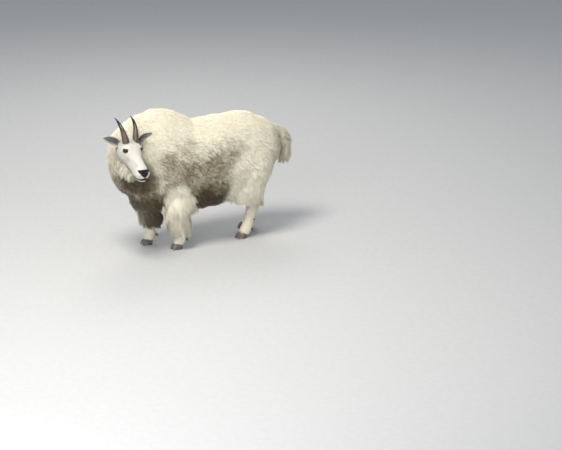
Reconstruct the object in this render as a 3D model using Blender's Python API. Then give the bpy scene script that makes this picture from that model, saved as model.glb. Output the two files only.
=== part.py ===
"""A mountain goat billy, life size, standing with its head turned to its left.

Metres, +Z up. The goat faces -Y, its left side is +X, and its hooves stand on z = 0.
Every size is the outside of the coat unless its comment says otherwise.
"""

import math
import random
from collections import namedtuple

import bmesh
import bpy
import numpy as np
from mathutils import Matrix, Vector
from mathutils.bvhtree import BVHTree

# Driving dimensions
BODY_TRIANGLES = 2100
STANCE = 0.105  # from the midline to the middle of each foot
GAP = 0.0004  # kept between nodes that touch
EYE_RADIUS = 0.0175
HORN_LENGTH = 0.212
HORN_RADIUS = 0.024
EAR_LENGTH = 0.122
HOOF_HEIGHT = 0.042

# The head's own frame: its origin is midway between the horn bases
HEAD_AT = Vector((0.1925, -0.433, 0.874))
HEAD_YAW = math.radians(91)  # turned from straight ahead towards the goat's left
HEAD_PITCH = math.radians(37)  # nose down
HEAD_ROLL = math.radians(2)  # left eye down

# Colours
COAT = (0.86, 0.82, 0.72)
FACE = (0.88, 0.86, 0.79)
HORN = (0.035, 0.028, 0.022)
HOOF = (0.060, 0.055, 0.050)
EYE = (0.012, 0.008, 0.006)
NOSE = (0.015, 0.013, 0.013)

FORWARD = Vector((0, -1, 0))
UP = Vector((0, 0, 1))

# One row of a tube: its middle, its half width, and how far it reaches to each side of its middle
# along the tube's second direction, which is up on the body and forward on a leg
Row = namedtuple("Row", "x y z across ahead behind")


def smooth_row(rows, at):
    """The row a share at of the way along rows, on a cubic curve through them."""
    table = np.array(rows, float)
    steps = np.linalg.norm(np.diff(table[:, :3], axis=0), axis=1)
    place = np.concatenate([[0], np.cumsum(steps)]) / steps.sum()
    slope = np.gradient(table, place, axis=0)
    i = int(np.clip(np.searchsorted(place, at) - 1, 0, len(rows) - 2))
    width = place[i + 1] - place[i]
    t = (at - place[i]) / width
    a, b = table[i], table[i + 1]
    c, d = slope[i] * width, slope[i + 1] * width
    from_first = a * (1 + 2 * t) + c * t
    from_second = b * (3 - 2 * t) + d * (t - 1)
    return from_first * (1 - t) ** 2 + from_second * t * t


def signed_power(value, power):
    return math.copysign(abs(value) ** power, value)


class Tube:
    """A closed tube through rows, whose sections are ovals that squareness above 2 makes boxier.

    peaks says, row by row, how much narrower the section is towards its top.
    """

    def __init__(self, rows, reference, squareness=2.0, relief=None, peaks=None):
        self.rows = rows
        self.reference = reference
        self.power = 2 / squareness
        self.relief = relief
        self.peaks = peaks

    def middle(self, at):
        return Vector(smooth_row(self.rows, at)[:3])

    def section(self, at):
        """The middle, the two directions across the tube, and the row's three sizes."""
        row = smooth_row(self.rows, at)
        along = (self.middle(min(at + 0.01, 1)) - self.middle(max(at - 0.01, 0))).normalized()
        ahead = (self.reference - along * self.reference.dot(along)).normalized()
        return Vector(row[:3]), along.cross(ahead), ahead, np.maximum(row[3:], 0.001)

    def bare_point(self, at, angle):
        middle, side, ahead, (across, front, back) = self.section(at)
        c, s = signed_power(math.cos(angle), self.power), signed_power(math.sin(angle), self.power)
        if self.peaks and s > 0:
            c *= 1 - self.peak(at) * s
        return middle + side * across * c + ahead * (front if s > 0 else back) * s

    def peak(self, at):
        place = at * (len(self.peaks) - 1)
        return float(np.interp(place, range(len(self.peaks)), self.peaks))

    def normal(self, at, angle):
        low, high = max(at - 0.01, 0), min(at + 0.01, 1)
        along = self.bare_point(high, angle) - self.bare_point(low, angle)
        round_it = self.bare_point(at, angle + 0.05) - self.bare_point(at, angle - 0.05)
        return along.cross(round_it).normalized()

    def point(self, at, angle):
        place = self.bare_point(at, angle)
        if self.relief:
            place += self.normal(at, angle) * self.relief(place)
        return place

    def build(self, rings, sides):
        """Points and faces, with a fan of triangles at each end."""
        shares = [k / (rings - 1) for k in range(rings)]
        turns = [math.tau * k / sides for k in range(sides)]
        points = [self.point(at, angle) for at in shares for angle in turns]
        faces = []
        for r in range(rings - 1):
            for k in range(sides):
                a, b = r * sides + k, r * sides + (k + 1) % sides
                faces.append((a, b, b + sides, a + sides))
        for ring, end in ((0, 0.0), (rings - 1, 1.0)):
            tip = len(points)
            points.append(self.middle(end))
            for k in range(sides):
                a, b = ring * sides + k, ring * sides + (k + 1) % sides
                faces.append((b, a, tip) if ring == 0 else (a, b, tip))
        return points, faces


def material(name, colour, roughness):
    made = bpy.data.materials.new(name)
    made.use_nodes = True
    shader = made.node_tree.nodes["Principled BSDF"]
    shader.inputs["Base Color"].default_value = (*colour, 1)
    shader.inputs["Roughness"].default_value = roughness
    shader.inputs["Metallic"].default_value = 0
    return made


def solid(name, points, faces, place=None):
    """A closed mesh object of triangles, with its faces turned outwards."""
    mesh = bpy.data.meshes.new(name)
    mesh.from_pydata([tuple(p) for p in points], [], faces)
    work = bmesh.new()
    work.from_mesh(mesh)
    if place:
        work.transform(place)
    bmesh.ops.recalc_face_normals(work, faces=work.faces)
    if work.calc_volume(signed=True) < 0:
        bmesh.ops.reverse_faces(work, faces=work.faces)
    bmesh.ops.triangulate(work, faces=work.faces)
    work.to_mesh(mesh)
    work.free()
    made = bpy.data.objects.new(name, mesh)
    bpy.context.scene.collection.objects.link(made)
    return made


def lock(root, outward, tip, width, lift):
    """A flat, tapered, bending lock of hair: three-sided, rooted under the surface, with one tip.

    lift is how far it bows out from the straight way between its root and its tip.
    """
    start, bow = root - outward * SINK, root + outward * lift + (tip - root) * 0.35
    across = (tip - root).cross(outward).normalized()
    points, faces = [], []
    for t, spread in ((0.0, 0.80), (0.32, 1.0), (0.62, 0.86), (0.85, 0.48)):
        middle = start * (1 - t) ** 2 + bow * 2 * t * (1 - t) + tip * t * t
        along = (bow - start) * (1 - t) + (tip - bow) * t
        up = across.cross(along).normalized()
        half = width * spread
        points += [middle - across * half, middle + up * half * 0.5, middle + across * half]
    points.append(tip)
    for r in range(3):
        for k in range(3):
            a, b = r * 3 + k, r * 3 + (k + 1) % 3
            faces.append((a, b, b + 3, a + 3))
    faces += [(0, 2, 1), (9, 10, 12), (10, 11, 12), (11, 9, 12)]
    return solid("lock", points, faces)


def tree_of(thing):
    mesh = thing.data
    mesh.calc_loop_triangles()
    triangles = [tuple(t.vertices) for t in mesh.loop_triangles]
    return BVHTree.FromPolygons([v.co for v in mesh.vertices], triangles)


def add_locks(thing, locks, neighbours):
    """Fuses the locks with their node, leaving out each one that would touch a neighbour."""
    trees = [tree_of(n) for n in neighbours]
    kept, lost = [], []
    for one in locks:
        own = tree_of(one)
        (lost if any(own.overlap(tree) for tree in trees) else kept).append(one)
    discard(lost)
    combine(thing, kept, "UNION", "MANIFOLD")


def locks_round(core, outline, rings, chance):
    """Locks in staggered rings round a core, whose tips lie on the outline further down."""
    made = []
    for number, (at, count, reach, width) in enumerate(rings):
        for k in range(count):
            angle = math.tau * (k + 0.5 * (number % 2) + chance.uniform(-0.18, 0.18)) / count
            share = max(0.02, at + chance.uniform(-0.03, 0.03))
            end = min(0.985, share + reach * chance.uniform(0.85, 1.15))
            tip = outline.point(end, angle + chance.uniform(-0.22, 0.22))
            tip += outline.normal(end, angle) * chance.uniform(-0.004, 0.006)
            root, outward = core.point(share, angle), core.normal(share, angle)
            wide = width * chance.uniform(0.85, 1.15)
            made.append(lock(root, outward, tip, wide, chance.uniform(0.016, 0.030)))
    return made


def chest_locks(chance):
    """Locks that hang from the throat, the front of the chest and the brisket."""
    made, form = [], Tube(NECK, UP, peaks=[NECK_PEAK] * 2)
    for at, angles in CHEST_LOCKS:
        for angle in angles:
            angle += chance.uniform(-0.12, 0.12)
            root, outward = form.point(at, angle), form.normal(at, angle)
            hang = Vector((chance.uniform(-0.2, 0.2), 0.30, -1))
            lie = (hang - outward * hang.dot(outward)).normalized()
            size = chance.uniform(0.85, 1.15)
            tip = root + lie * 0.115 * size + outward * 0.010
            made.append(lock(root, outward, tip, 0.027 * size, 0.012))
    return made


def beard(place, head):
    """A short beard: a small core under the jaw with locks hanging from it."""
    core = ball("beard", Vector(BEARD_AT), (0.024, 0.042, 0.020), place, rings=7, sides=10)
    clear_of(core, head)
    chance, locks = random.Random(SEED), []
    turn = place.to_3x3()
    for k in range(10):
        side = 1 if k % 2 else -1
        spot = Vector((side * chance.uniform(0.004, 0.016), 0.032 - 0.0072 * k, -0.008))
        root = place @ (Vector(BEARD_AT) + spot)
        down = (turn @ Vector((spot.x * 10, 0.25, -1))).lerp(-UP, 0.5).normalized()
        outward = turn @ Vector((side, -0.3, 0))
        outward = (outward - down * outward.dot(down)).normalized()
        tip = root + down * chance.uniform(0.058, 0.085) + outward * chance.uniform(-0.004, 0.006)
        locks.append(lock(root, outward, tip, 0.013, 0.006))
    add_locks(core, locks, [head])
    return core


def slimmer(rows, shares):
    """The rows of the core inside an outline."""
    return [
        row._replace(across=row.across * k, ahead=row.ahead * k, behind=row.behind * k)
        for row, k in zip(rows, shares)
    ]


def discard(objects):
    for thing in objects:
        bpy.data.objects.remove(thing)


def keep_largest(mesh):
    """Leaves only the largest of the mesh's closed surfaces."""
    work = bmesh.new()
    work.from_mesh(mesh)
    work.verts.ensure_lookup_table()
    seen, shells = set(), []
    for start in work.verts:
        if start in seen:
            continue
        shell, front = {start}, [start]
        while front:
            for edge in front.pop().link_edges:
                for vert in edge.verts:
                    if vert not in shell:
                        shell.add(vert)
                        front.append(vert)
        seen |= shell
        shells.append(shell)
    shells.sort(key=len)
    for shell in shells[:-1]:
        bmesh.ops.delete(work, geom=list(shell), context="VERTS")
    work.to_mesh(mesh)
    work.free()


def combine(target, others, operation, solver="EXACT"):
    """Joins others to target, or cuts them from it, in one Boolean, and removes them."""
    group = bpy.data.collections.new("operands")
    bpy.context.scene.collection.children.link(group)
    for other in others:
        group.objects.link(other)
    boolean = target.modifiers.new("combine", "BOOLEAN")
    boolean.operation = operation
    boolean.operand_type = "COLLECTION"
    boolean.collection = group
    boolean.solver = solver
    graph = bpy.context.evaluated_depsgraph_get()
    mesh = bpy.data.meshes.new_from_object(target.evaluated_get(graph))
    target.modifiers.clear()
    target.data = mesh
    keep_largest(mesh)
    discard(others)
    bpy.data.collections.remove(group)
    return target


def copy_of(thing, name):
    made = bpy.data.objects.new(name, thing.data.copy())
    bpy.context.scene.collection.objects.link(made)
    return made


def blended(name, pieces, voxel, smoothing, triangles):
    """One smooth closed surface round all the pieces, with about this many triangles."""
    whole = bmesh.new()
    for piece in pieces:
        whole.from_mesh(piece.data)
    mesh = bpy.data.meshes.new(name)
    whole.to_mesh(mesh)
    whole.free()
    discard(pieces)
    made = bpy.data.objects.new(name, mesh)
    bpy.context.scene.collection.objects.link(made)
    remesh = made.modifiers.new("remesh", "REMESH")
    remesh.mode = "VOXEL"
    remesh.voxel_size = voxel
    smooth = made.modifiers.new("smooth", "SMOOTH")
    smooth.factor = 0.5
    smooth.iterations = smoothing
    apply_modifiers(made)
    made.data.calc_loop_triangles()
    decimate = made.modifiers.new("decimate", "DECIMATE")
    decimate.ratio = triangles / len(made.data.loop_triangles)
    apply_modifiers(made)
    keep_largest(made.data)
    return made


def apply_modifiers(thing):
    graph = bpy.context.evaluated_depsgraph_get()
    mesh = bpy.data.meshes.new_from_object(thing.evaluated_get(graph))
    thing.modifiers.clear()
    thing.data = mesh


def block(name, low, high, tilt=0.0, about=(0, 0, 0)):
    """A box between two corners, tilted about the left-right line through a point."""
    points = [(x, y, z) for x in (low[0], high[0]) for y in (low[1], high[1]) for z in (low[2], high[2])]
    faces = [(0, 1, 3, 2), (4, 6, 7, 5), (0, 4, 5, 1), (2, 3, 7, 6), (0, 2, 6, 4), (1, 5, 7, 3)]
    turn = Matrix.Translation(about) @ Matrix.Rotation(tilt, 4, "X") @ Matrix.Translation(-Vector(about))
    return solid(name, points, faces, turn)


def part_off(whole, name, region):
    """Takes the share of whole inside region as a node of its own, and leaves a gap between them."""
    piece = copy_of(whole, name)
    combine(whole, [grown_copy(region, GAP)], "DIFFERENCE", "MANIFOLD")
    return combine(piece, [region], "INTERSECT", "MANIFOLD")


def grown_copy(thing, by):
    """A copy of the object whose surface stands out by a little, to cut a neighbour with."""
    copy = copy_of(thing, thing.name + "_grown")
    work = bmesh.new()
    work.from_mesh(copy.data)
    work.normal_update()
    for vert in work.verts:
        vert.co += vert.normal * by
    work.to_mesh(copy.data)
    work.free()
    return copy


def clear_of(thing, *neighbours):
    """Cuts thing back from its neighbours, leaving the gap that touching nodes keep."""
    return combine(thing, [grown_copy(n, GAP) for n in neighbours], "DIFFERENCE", "MANIFOLD")


def head_matrix():
    """Carries the head's frame (left, backward, up) to the goat's."""
    turn = Matrix.Rotation(HEAD_YAW, 4, "Z")
    nod = Matrix.Rotation(HEAD_PITCH, 4, "X")
    tip = Matrix.Rotation(HEAD_ROLL, 4, "Y")
    return Matrix.Translation(HEAD_AT) @ turn @ nod @ tip


# The trunk, from the chest to the rump
TRUNK = [
    # y, top, bottom, half width, how much narrower it is at the top
    (-0.392, 0.840, 0.428, 0.096, 0.20),
    (-0.330, 0.970, 0.345, 0.142, 0.34),
    (-0.250, 1.018, 0.300, 0.172, 0.40),
    (-0.165, 1.032, 0.280, 0.200, 0.38),
    (-0.060, 0.990, 0.268, 0.214, 0.30),
    (0.060, 0.932, 0.258, 0.227, 0.20),
    (0.180, 0.918, 0.256, 0.235, 0.12),
    (0.320, 0.924, 0.268, 0.240, 0.10),
    (0.460, 0.944, 0.320, 0.232, 0.10),
    (0.580, 0.938, 0.400, 0.214, 0.10),
    (0.700, 0.896, 0.470, 0.180, 0.08),
    (0.790, 0.850, 0.540, 0.134, 0.00),
    (0.840, 0.786, 0.610, 0.072, 0.00),
]
WIDEST = 0.43  # share of the trunk's depth at which it is widest

# The mass of the neck and chest, which points forward
NECK = [
    Row(0.000, -0.100, 0.690, 0.188, 0.300, 0.330),
    Row(0.000, -0.240, 0.695, 0.174, 0.318, 0.330),
    Row(-0.004, -0.340, 0.704, 0.152, 0.298, 0.280),
    Row(-0.002, -0.415, 0.716, 0.122, 0.248, 0.222),
    Row(0.006, -0.472, 0.724, 0.084, 0.162, 0.140),
    Row(0.012, -0.504, 0.728, 0.030, 0.058, 0.054),
]
NECK_PEAK = 0.35  # how much narrower the neck is at its crest
# The throat, which turns to the left to meet the head
THROAT = [
    Row(-0.080, -0.350, 0.770, 0.120, 0.130, 0.170),
    Row(0.000, -0.380, 0.780, 0.122, 0.118, 0.165),
    Row(0.080, -0.405, 0.790, 0.106, 0.092, 0.150),
    Row(0.140, -0.420, 0.782, 0.076, 0.062, 0.112),
    Row(0.165, -0.424, 0.780, 0.040, 0.030, 0.060),
]

TAIL = [
    Row(0.000, 0.770, 0.775, 0.062, 0.050, 0.055),
    Row(0.000, 0.842, 0.746, 0.066, 0.052, 0.052),
    Row(0.000, 0.886, 0.695, 0.064, 0.052, 0.048),
    Row(0.000, 0.908, 0.635, 0.062, 0.050, 0.044),
    Row(0.000, 0.908, 0.570, 0.050, 0.040, 0.040),
    Row(0.000, 0.898, 0.508, 0.014, 0.012, 0.012),
]

# Legs run from inside the trunk down to the pastern. x and y are from the middle of the foot.
FORELEG = [
    Row(-0.010, -0.030, 0.600, 0.070, 0.120, 0.130),
    Row(0.000, -0.035, 0.480, 0.092, 0.122, 0.125),
    Row(0.004, -0.036, 0.370, 0.096, 0.106, 0.112),
    Row(0.002, -0.022, 0.270, 0.092, 0.104, 0.108),
    Row(0.000, -0.008, 0.175, 0.088, 0.094, 0.108),
    Row(0.000, 0.002, 0.125, 0.066, 0.064, 0.088),
]
FORE_SHANK = [
    Row(0.000, -0.012, 0.240, 0.037, 0.036, 0.040),
    Row(0.000, -0.010, 0.115, 0.037, 0.036, 0.040),
    Row(0.000, -0.006, 0.085, 0.041, 0.040, 0.050),
    Row(0.000, -0.016, 0.050, 0.042, 0.046, 0.044),
    Row(0.000, -0.024, 0.030, 0.040, 0.048, 0.040),
]
HINDLEG = [
    Row(-0.005, 0.030, 0.690, 0.112, 0.190, 0.205),
    Row(0.010, 0.012, 0.560, 0.122, 0.205, 0.196),
    Row(0.013, 0.010, 0.450, 0.112, 0.200, 0.172),
    Row(0.010, 0.035, 0.350, 0.090, 0.190, 0.118),
    Row(0.005, 0.066, 0.275, 0.072, 0.168, 0.080),
    Row(0.000, 0.062, 0.210, 0.054, 0.124, 0.060),
]
HIND_SHANK = [
    Row(0.000, 0.066, 0.330, 0.040, 0.046, 0.048),
    Row(0.000, 0.060, 0.230, 0.040, 0.044, 0.046),
    Row(0.000, 0.034, 0.150, 0.037, 0.040, 0.040),
    Row(0.000, 0.010, 0.085, 0.041, 0.042, 0.048),
    Row(0.000, -0.004, 0.050, 0.042, 0.048, 0.044),
    Row(0.000, -0.014, 0.030, 0.040, 0.050, 0.040),
]
# How far out the solid core under the locks reaches, row by row, as a share of the outline
FORE_CORE = (1.00, 0.98, 0.84, 0.72, 0.62, 0.56)
HIND_CORE = (1.00, 0.98, 0.94, 0.78, 0.58, 0.40)
TAIL_CORE = (1.00, 0.92, 0.72, 0.64, 0.58, 0.46)

# Locks of hair, ring by ring: share of the way along the core, how many, reach as a share, half width
FORE_LOCKS = (
    (0.24, 5, 0.34, 0.031),
    (0.38, 7, 0.34, 0.031),
    (0.52, 8, 0.32, 0.030),
    (0.66, 8, 0.29, 0.029),
    (0.80, 8, 0.18, 0.026),
)
HIND_LOCKS = (
    (0.30, 6, 0.33, 0.032),
    (0.44, 8, 0.33, 0.031),
    (0.58, 8, 0.30, 0.029),
    (0.72, 7, 0.24, 0.024),
)
TAIL_LOCKS = (
    (0.30, 5, 0.29, 0.028),
    (0.45, 6, 0.29, 0.026),
    (0.60, 6, 0.28, 0.024),
    (0.75, 5, 0.24, 0.020),
)
# Locks of the throat and chest: share of the way along the neck, and the angles round it
CHEST_LOCKS = (
    (0.46, (-1.9, -1.5, -1.1)),
    (0.57, (-2.2, -1.8, -1.35, -0.9)),
    (0.68, (-2.3, -1.85, -1.45, -1.0, -0.6)),
)
SINK = 0.014  # how deep a lock is rooted
SEED = 7

# Where each foot stands: side (+1 left), y, and whether it is a foreleg
FEET = {
    "foreleg_left": (1, 0.000, True),
    "foreleg_right": (-1, -0.134, True),
    "hindleg_left": (1, 0.530, False),
    "hindleg_right": (-1, 0.670, False),
}
# How far back of the foot the top of each leg is, for each metre of height above the ankle
LEAN = {"foreleg_left": -0.04, "foreleg_right": 0.12, "hindleg_left": 0.04, "hindleg_right": -0.18}
FORE_CUT = 0.128  # height of the cut between upper leg and shank
HIND_CUT = 0.235
TAIL_CUT = 0.836  # how far back the cut between rump and tail is

# The head along its own axis: forward, top, bottom, half width
HEAD = [
    (-0.075, -0.030, -0.120, 0.042),
    (-0.050, -0.010, -0.150, 0.066),
    (-0.010, 0.002, -0.168, 0.078),
    (0.035, 0.008, -0.176, 0.078),
    (0.072, 0.004, -0.172, 0.072),
    (0.114, -0.006, -0.158, 0.061),
    (0.156, -0.009, -0.146, 0.053),
    (0.198, -0.006, -0.140, 0.050),
    (0.232, -0.010, -0.137, 0.051),
    (0.254, -0.022, -0.134, 0.047),
    (0.271, -0.037, -0.129, 0.039),
    (0.284, -0.056, -0.118, 0.026),
]
HEAD_WIDEST = 0.58  # share of the head's depth at which it is widest

# Swellings and hollows of the head: forward, side, up, reach of each, and height
HEAD_RELIEF = [
    (0.044, 0.062, -0.002, 0.020, 0.009),  # brow
    (0.098, 0.064, -0.058, 0.022, 0.004),  # cheekbone
    (0.030, 0.076, -0.110, 0.038, 0.006),  # jaw muscle
    (0.145, 0.054, -0.045, 0.028, -0.005),  # hollow beside the nose
    (0.262, 0.034, -0.076, 0.022, 0.006),  # upper lip
    (0.270, 0.000, -0.126, 0.024, 0.006),  # chin
]
# Which way each ear reaches from its root, in the head's frame
EAR_REACH = {1: (0.100, 0.030, 0.045), -1: (-0.098, 0.072, 0.012)}
BEARD_AT = (0.0, -0.160, -0.146)
NOSE_AT = Vector((0.0, -0.257, -0.038))
NOSE_SLOPE = math.radians(42)  # how far the pad leans back from upright
EYE_AT = Vector((0.0640, -0.0600, -0.0220))  # left, backward, up in the head's frame


def head_relief(place):
    """How far the head's surface stands out from its plain tube at this place."""
    total = 0.0
    for forward, side, up, reach, height in HEAD_RELIEF:
        near = Vector((abs(place.x) - side, -place.y - forward, place.z - up))
        total += height * math.exp(-((near.length / reach) ** 2))
    return total


def trunk_tube():
    rows = []
    for y, top, bottom, half, _ in TRUNK:
        middle = bottom + (top - bottom) * WIDEST
        rows.append(Row(0, y, middle, half, top - middle, middle - bottom))
    return Tube(rows, UP, squareness=2.1, peaks=[row[4] for row in TRUNK])


def head_tube():
    rows = []
    for forward, top, bottom, half in HEAD:
        middle = bottom + (top - bottom) * HEAD_WIDEST
        rows.append(Row(0, -forward, middle, half, top - middle, middle - bottom))
    return Tube(rows, UP, squareness=2.25, relief=head_relief)


def shifted(rows, x, y):
    return [row._replace(x=row.x + x, y=row.y + y) for row in rows]


def mirrored(rows):
    return [row._replace(x=-row.x) for row in rows]


def leg_rows(rows, name):
    """A leg's rows where it stands, leaning from the ankle up."""
    side, y, _ = FEET[name]
    outward = rows if side > 0 else mirrored(rows)
    leaning = [row._replace(y=row.y + LEAN[name] * max(0.0, row.z - 0.1)) for row in outward]
    return shifted(leaning, side * STANCE, y)


def tube_solid(name, tube, rings, sides, place=None):
    return solid(name, *tube.build(rings, sides), place)


def claw(name, side, inner, y):
    """One half of a cloven hoof: pointed in front, round behind, flat on the ground."""
    sides, length, width = 12, 0.040, 0.0165
    spread = 0.019 * (1 if inner else -1)
    levels = ((0.0, 1.0, 0.0), (0.012, 1.0, 0.001), (0.030, 0.90, 0.006), (HOOF_HEIGHT, 0.70, 0.012))
    points = []
    for height, size, back in levels:
        for k in range(sides):
            angle = math.tau * k / sides
            toe = max(0.0, -math.sin(angle))
            x = width * size * math.cos(angle) * (1 - 0.30 * toe)
            yy = length * size * math.sin(angle) * (1.10 if toe else 0.85)
            points.append((side * STANCE + spread + x, y - 0.035 + back + yy, height))
    faces = [tuple(range(sides)), tuple(range((len(levels) - 1) * sides, len(levels) * sides))]
    for r in range(len(levels) - 1):
        for k in range(sides):
            a, b = r * sides + k, r * sides + (k + 1) % sides
            faces.append((a, b, b + sides, a + sides))
    return solid(name, points, faces)


def dewclaw(name, side, inner, y):
    """A small horny cone behind the fetlock."""
    x = side * STANCE + 0.018 * (1 if inner else -1)
    rows = [
        Row(x, y + 0.020, 0.078, 0.010, 0.010, 0.010),
        Row(x, y + 0.040, 0.066, 0.010, 0.010, 0.010),
        Row(x, y + 0.054, 0.050, 0.004, 0.004, 0.004),
    ]
    return tube_solid(name, Tube(rows, UP), 3, 7)


def horn_point(share, side):
    """The horn's middle line in the head's frame: it rises, sweeps back and levels out."""
    turn = math.radians(75)
    start = math.radians(53)
    radius = HORN_LENGTH / turn
    angle = start - turn * share
    back = radius * (math.sin(start) - math.sin(angle))
    up = radius * (math.cos(angle) - math.cos(start))
    out = 0.036 + 0.026 * math.sin(share * math.pi / 2)
    return Vector((side * out, back, up - 0.010))


def horn(name, side, place):
    rings, rows = 9, []
    for k in range(rings):
        share = k / (rings - 1)
        radius = HORN_RADIUS * (1 - share) ** 0.75 * (1 - 0.10 * share) + 0.0008
        rows.append(Row(*horn_point(share, side), radius, radius * 1.12, radius * 1.12))
    tube = Tube(rows, UP + Vector((0, 0.3, 0)))
    ridge = 0.0009
    tube.relief = lambda p: ridge * math.sin(p.y * 420) * max(0.0, 1 - p.y / 0.10)
    return tube_solid(name, tube, 12, 10, place)


def ear(name, side, place):
    """A cupped leaf, open towards the face, with its root rolled to a tube."""
    rows, columns, thick = 8, 7, 0.0035
    root = Vector((side * 0.070, 0.006, -0.040))
    reach = Vector(EAR_REACH[side])
    along = reach.normalized()
    face = (Vector((0, -1, 0.25)) - along * Vector((0, -1, 0.25)).dot(along)).normalized()
    across = along.cross(face)
    inner, outer = [], []
    for r in range(rows):
        t = r / (rows - 1)
        half = 0.006 + 0.024 * math.sin(math.pi * min(1.0, 0.16 + 0.84 * t)) ** 0.8
        curl = math.radians(150 - 90 * t)
        bow = face * (-0.012 * math.sin(math.pi * t)) + UP * 0.004 * math.sin(math.pi * t)
        for c in range(columns):
            s = 2 * c / (columns - 1) - 1
            radius = half / math.sin(curl / 2)
            angle = s * curl / 2
            out = across * math.sin(angle) - face * (math.cos(angle) - math.cos(curl / 2))
            middle = root + along * EAR_LENGTH * t + bow
            inner.append(middle + out * radius)
            outer.append(middle + out * (radius + thick) - face * thick * 0.2)
    count = rows * columns
    faces = []
    for r in range(rows - 1):
        for c in range(columns - 1):
            a = r * columns + c
            faces.append((a, a + 1, a + 1 + columns, a + columns))
            faces.append((count + a, count + a + columns, count + a + 1 + columns, count + a + 1))
    rim = [r * columns for r in range(rows)] + list(range((rows - 1) * columns + 1, count))
    rim += [r * columns + columns - 1 for r in range(rows - 2, -1, -1)] + list(range(columns - 2, 0, -1))
    for a, b in zip(rim, rim[1:] + rim[:1]):
        faces.append((b, a, count + a, count + b))
    return solid(name, inner + outer, faces, place)


def eye(name, side, place):
    """An eyeball, with its middle at EYE_AT on that side."""
    rings, sides, points, faces = 8, 12, [], []
    middle = Vector((side * EYE_AT.x, EYE_AT.y, EYE_AT.z))
    for r in range(1, rings):
        tilt = math.pi * r / rings
        for k in range(sides):
            turn = math.tau * k / sides
            out = Vector((math.cos(tilt), math.sin(tilt) * math.cos(turn), math.sin(tilt) * math.sin(turn)))
            points.append(middle + out * EYE_RADIUS)
    for r in range(rings - 2):
        for k in range(sides):
            a, b = r * sides + k, r * sides + (k + 1) % sides
            faces.append((a, b, b + sides, a + sides))
    for ring, end in ((0, 1), (rings - 2, -1)):
        tip = len(points)
        points.append(middle + Vector((end * EYE_RADIUS, 0, 0)))
        faces += [(ring * sides + k, ring * sides + (k + 1) % sides, tip) for k in range(sides)]
    return solid(name, points, faces, place)


def ball(name, middle, sizes, place, turn=0.0, rings=8, sides=12):
    """An egg with these half sizes, turned about its vertical axis."""
    spin = Matrix.Rotation(turn, 4, "Y")
    points, faces = [], []
    for r in range(1, rings):
        tilt = math.pi * r / rings
        for k in range(sides):
            angle = math.tau * k / sides
            unit = Vector((math.sin(tilt) * math.cos(angle), math.cos(tilt), math.sin(tilt) * math.sin(angle)))
            points.append(middle + spin @ Vector([u * s for u, s in zip(unit, sizes)]))
    for r in range(rings - 2):
        for k in range(sides):
            a, b = r * sides + k, r * sides + (k + 1) % sides
            faces.append((a, b, b + sides, a + sides))
    for ring, end in ((0, 1), (rings - 2, -1)):
        tip = len(points)
        points.append(middle + spin @ Vector((0, end * sizes[1], 0)))
        faces += [(ring * sides + k, ring * sides + (k + 1) % sides, tip) for k in range(sides)]
    return solid(name, points, faces, place)


def nose(place):
    """The bare black pad round the nostrils, with a nostril cut in each side."""
    slope = place @ Matrix.Translation(NOSE_AT) @ Matrix.Rotation(-NOSE_SLOPE, 4, "X")
    pad = ball("nose", Vector((0, 0, 0)), (0.042, 0.016, 0.036), slope, sides=16)
    nostrils = []
    for side in (1, -1):
        at = Vector((side * 0.0240, -0.016, 0.004))
        nostrils.append(ball(f"nostril{side}", at, (0.011, 0.012, 0.0045), slope, side * 0.6, 6, 10))
    return combine(pad, nostrils, "DIFFERENCE")


def path_tube(name, path, radius, place, closed=False):
    """A thin tube along a path, to add a lid or to cut the line of the mouth."""
    sides, points, faces = 6, [], []
    count = len(path)
    for i, middle in enumerate(path):
        after = path[(i + 1) % count] if closed or i + 1 < count else middle
        before = path[i - 1] if closed or i else middle
        along = (after - before).normalized()
        side = along.cross(UP).normalized()
        top = side.cross(along)
        for k in range(sides):
            angle = math.tau * k / sides
            points.append(middle + (side * math.cos(angle) + top * math.sin(angle)) * radius)
    for i in range(count if closed else count - 1):
        for k in range(sides):
            a, b = i * sides + k, i * sides + (k + 1) % sides
            c, d = (i + 1) % count * sides + k, (i + 1) % count * sides + (k + 1) % sides
            faces.append((a, b, d, c))
    if not closed:
        faces += [tuple(range(sides)), tuple(range((count - 1) * sides, count * sides))]
    return solid(name, points, faces, place)


def lids(side, place):
    """The rim of skin round one eye, an almond longer than it is high."""
    middle = Vector((side * EYE_AT.x, EYE_AT.y, EYE_AT.z))
    out = Vector((side * 0.86, -0.48, 0.10)).normalized()
    lengthwise = Vector((-out.y, out.x, 0)).normalized()
    upright = out.cross(lengthwise).normalized()
    path = []
    for k in range(14):
        angle = math.tau * k / 14
        spot = lengthwise * 0.0175 * math.cos(angle) + upright * 0.0105 * math.sin(angle)
        sink = math.sqrt(max(0.0, (EYE_RADIUS + 0.0015) ** 2 - spot.length_squared))
        path.append(middle + spot + out * sink)
    return path_tube(f"lid{side}", path, 0.0034, place, closed=True)


def mouth_groove(place):
    """A groove along the surface from one corner of the mouth round the front to the other."""
    tube = head_tube()
    surface = [tube.point(0.66 + 0.34 * r / 20, math.tau * k / 60) for r in range(21) for k in range(60)]
    front = surface[-60:]
    middle = (front[0] + front[30]) / 2
    surface += [spot.lerp(middle, share) for share in (0.25, 0.5, 0.75) for spot in front]
    path = []
    for k in range(-8, 9):
        share = abs(k) / 8
        forward = 0.286 - 0.100 * share**1.3
        level = -0.078 - 0.018 * share
        half = 0.036 * math.sin(min(1.0, share * 1.7) * math.pi / 2) + 0.006 * share
        guess = Vector((math.copysign(half, k), -forward, level))
        nearest = min(surface, key=lambda spot: (spot - guess).length_squared)
        if not path or (nearest - path[-1]).length > 0.001:
            path.append(nearest)
    return path_tube("mouth", path, 0.0022, place)


def dress(thing, finish):
    """Gives the object its material and smooth shading."""
    thing.data.materials.clear()
    thing.data.materials.append(finish)
    thing.data.shade_smooth()
    thing.data.set_sharp_from_angle(angle=math.radians(50))


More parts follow.
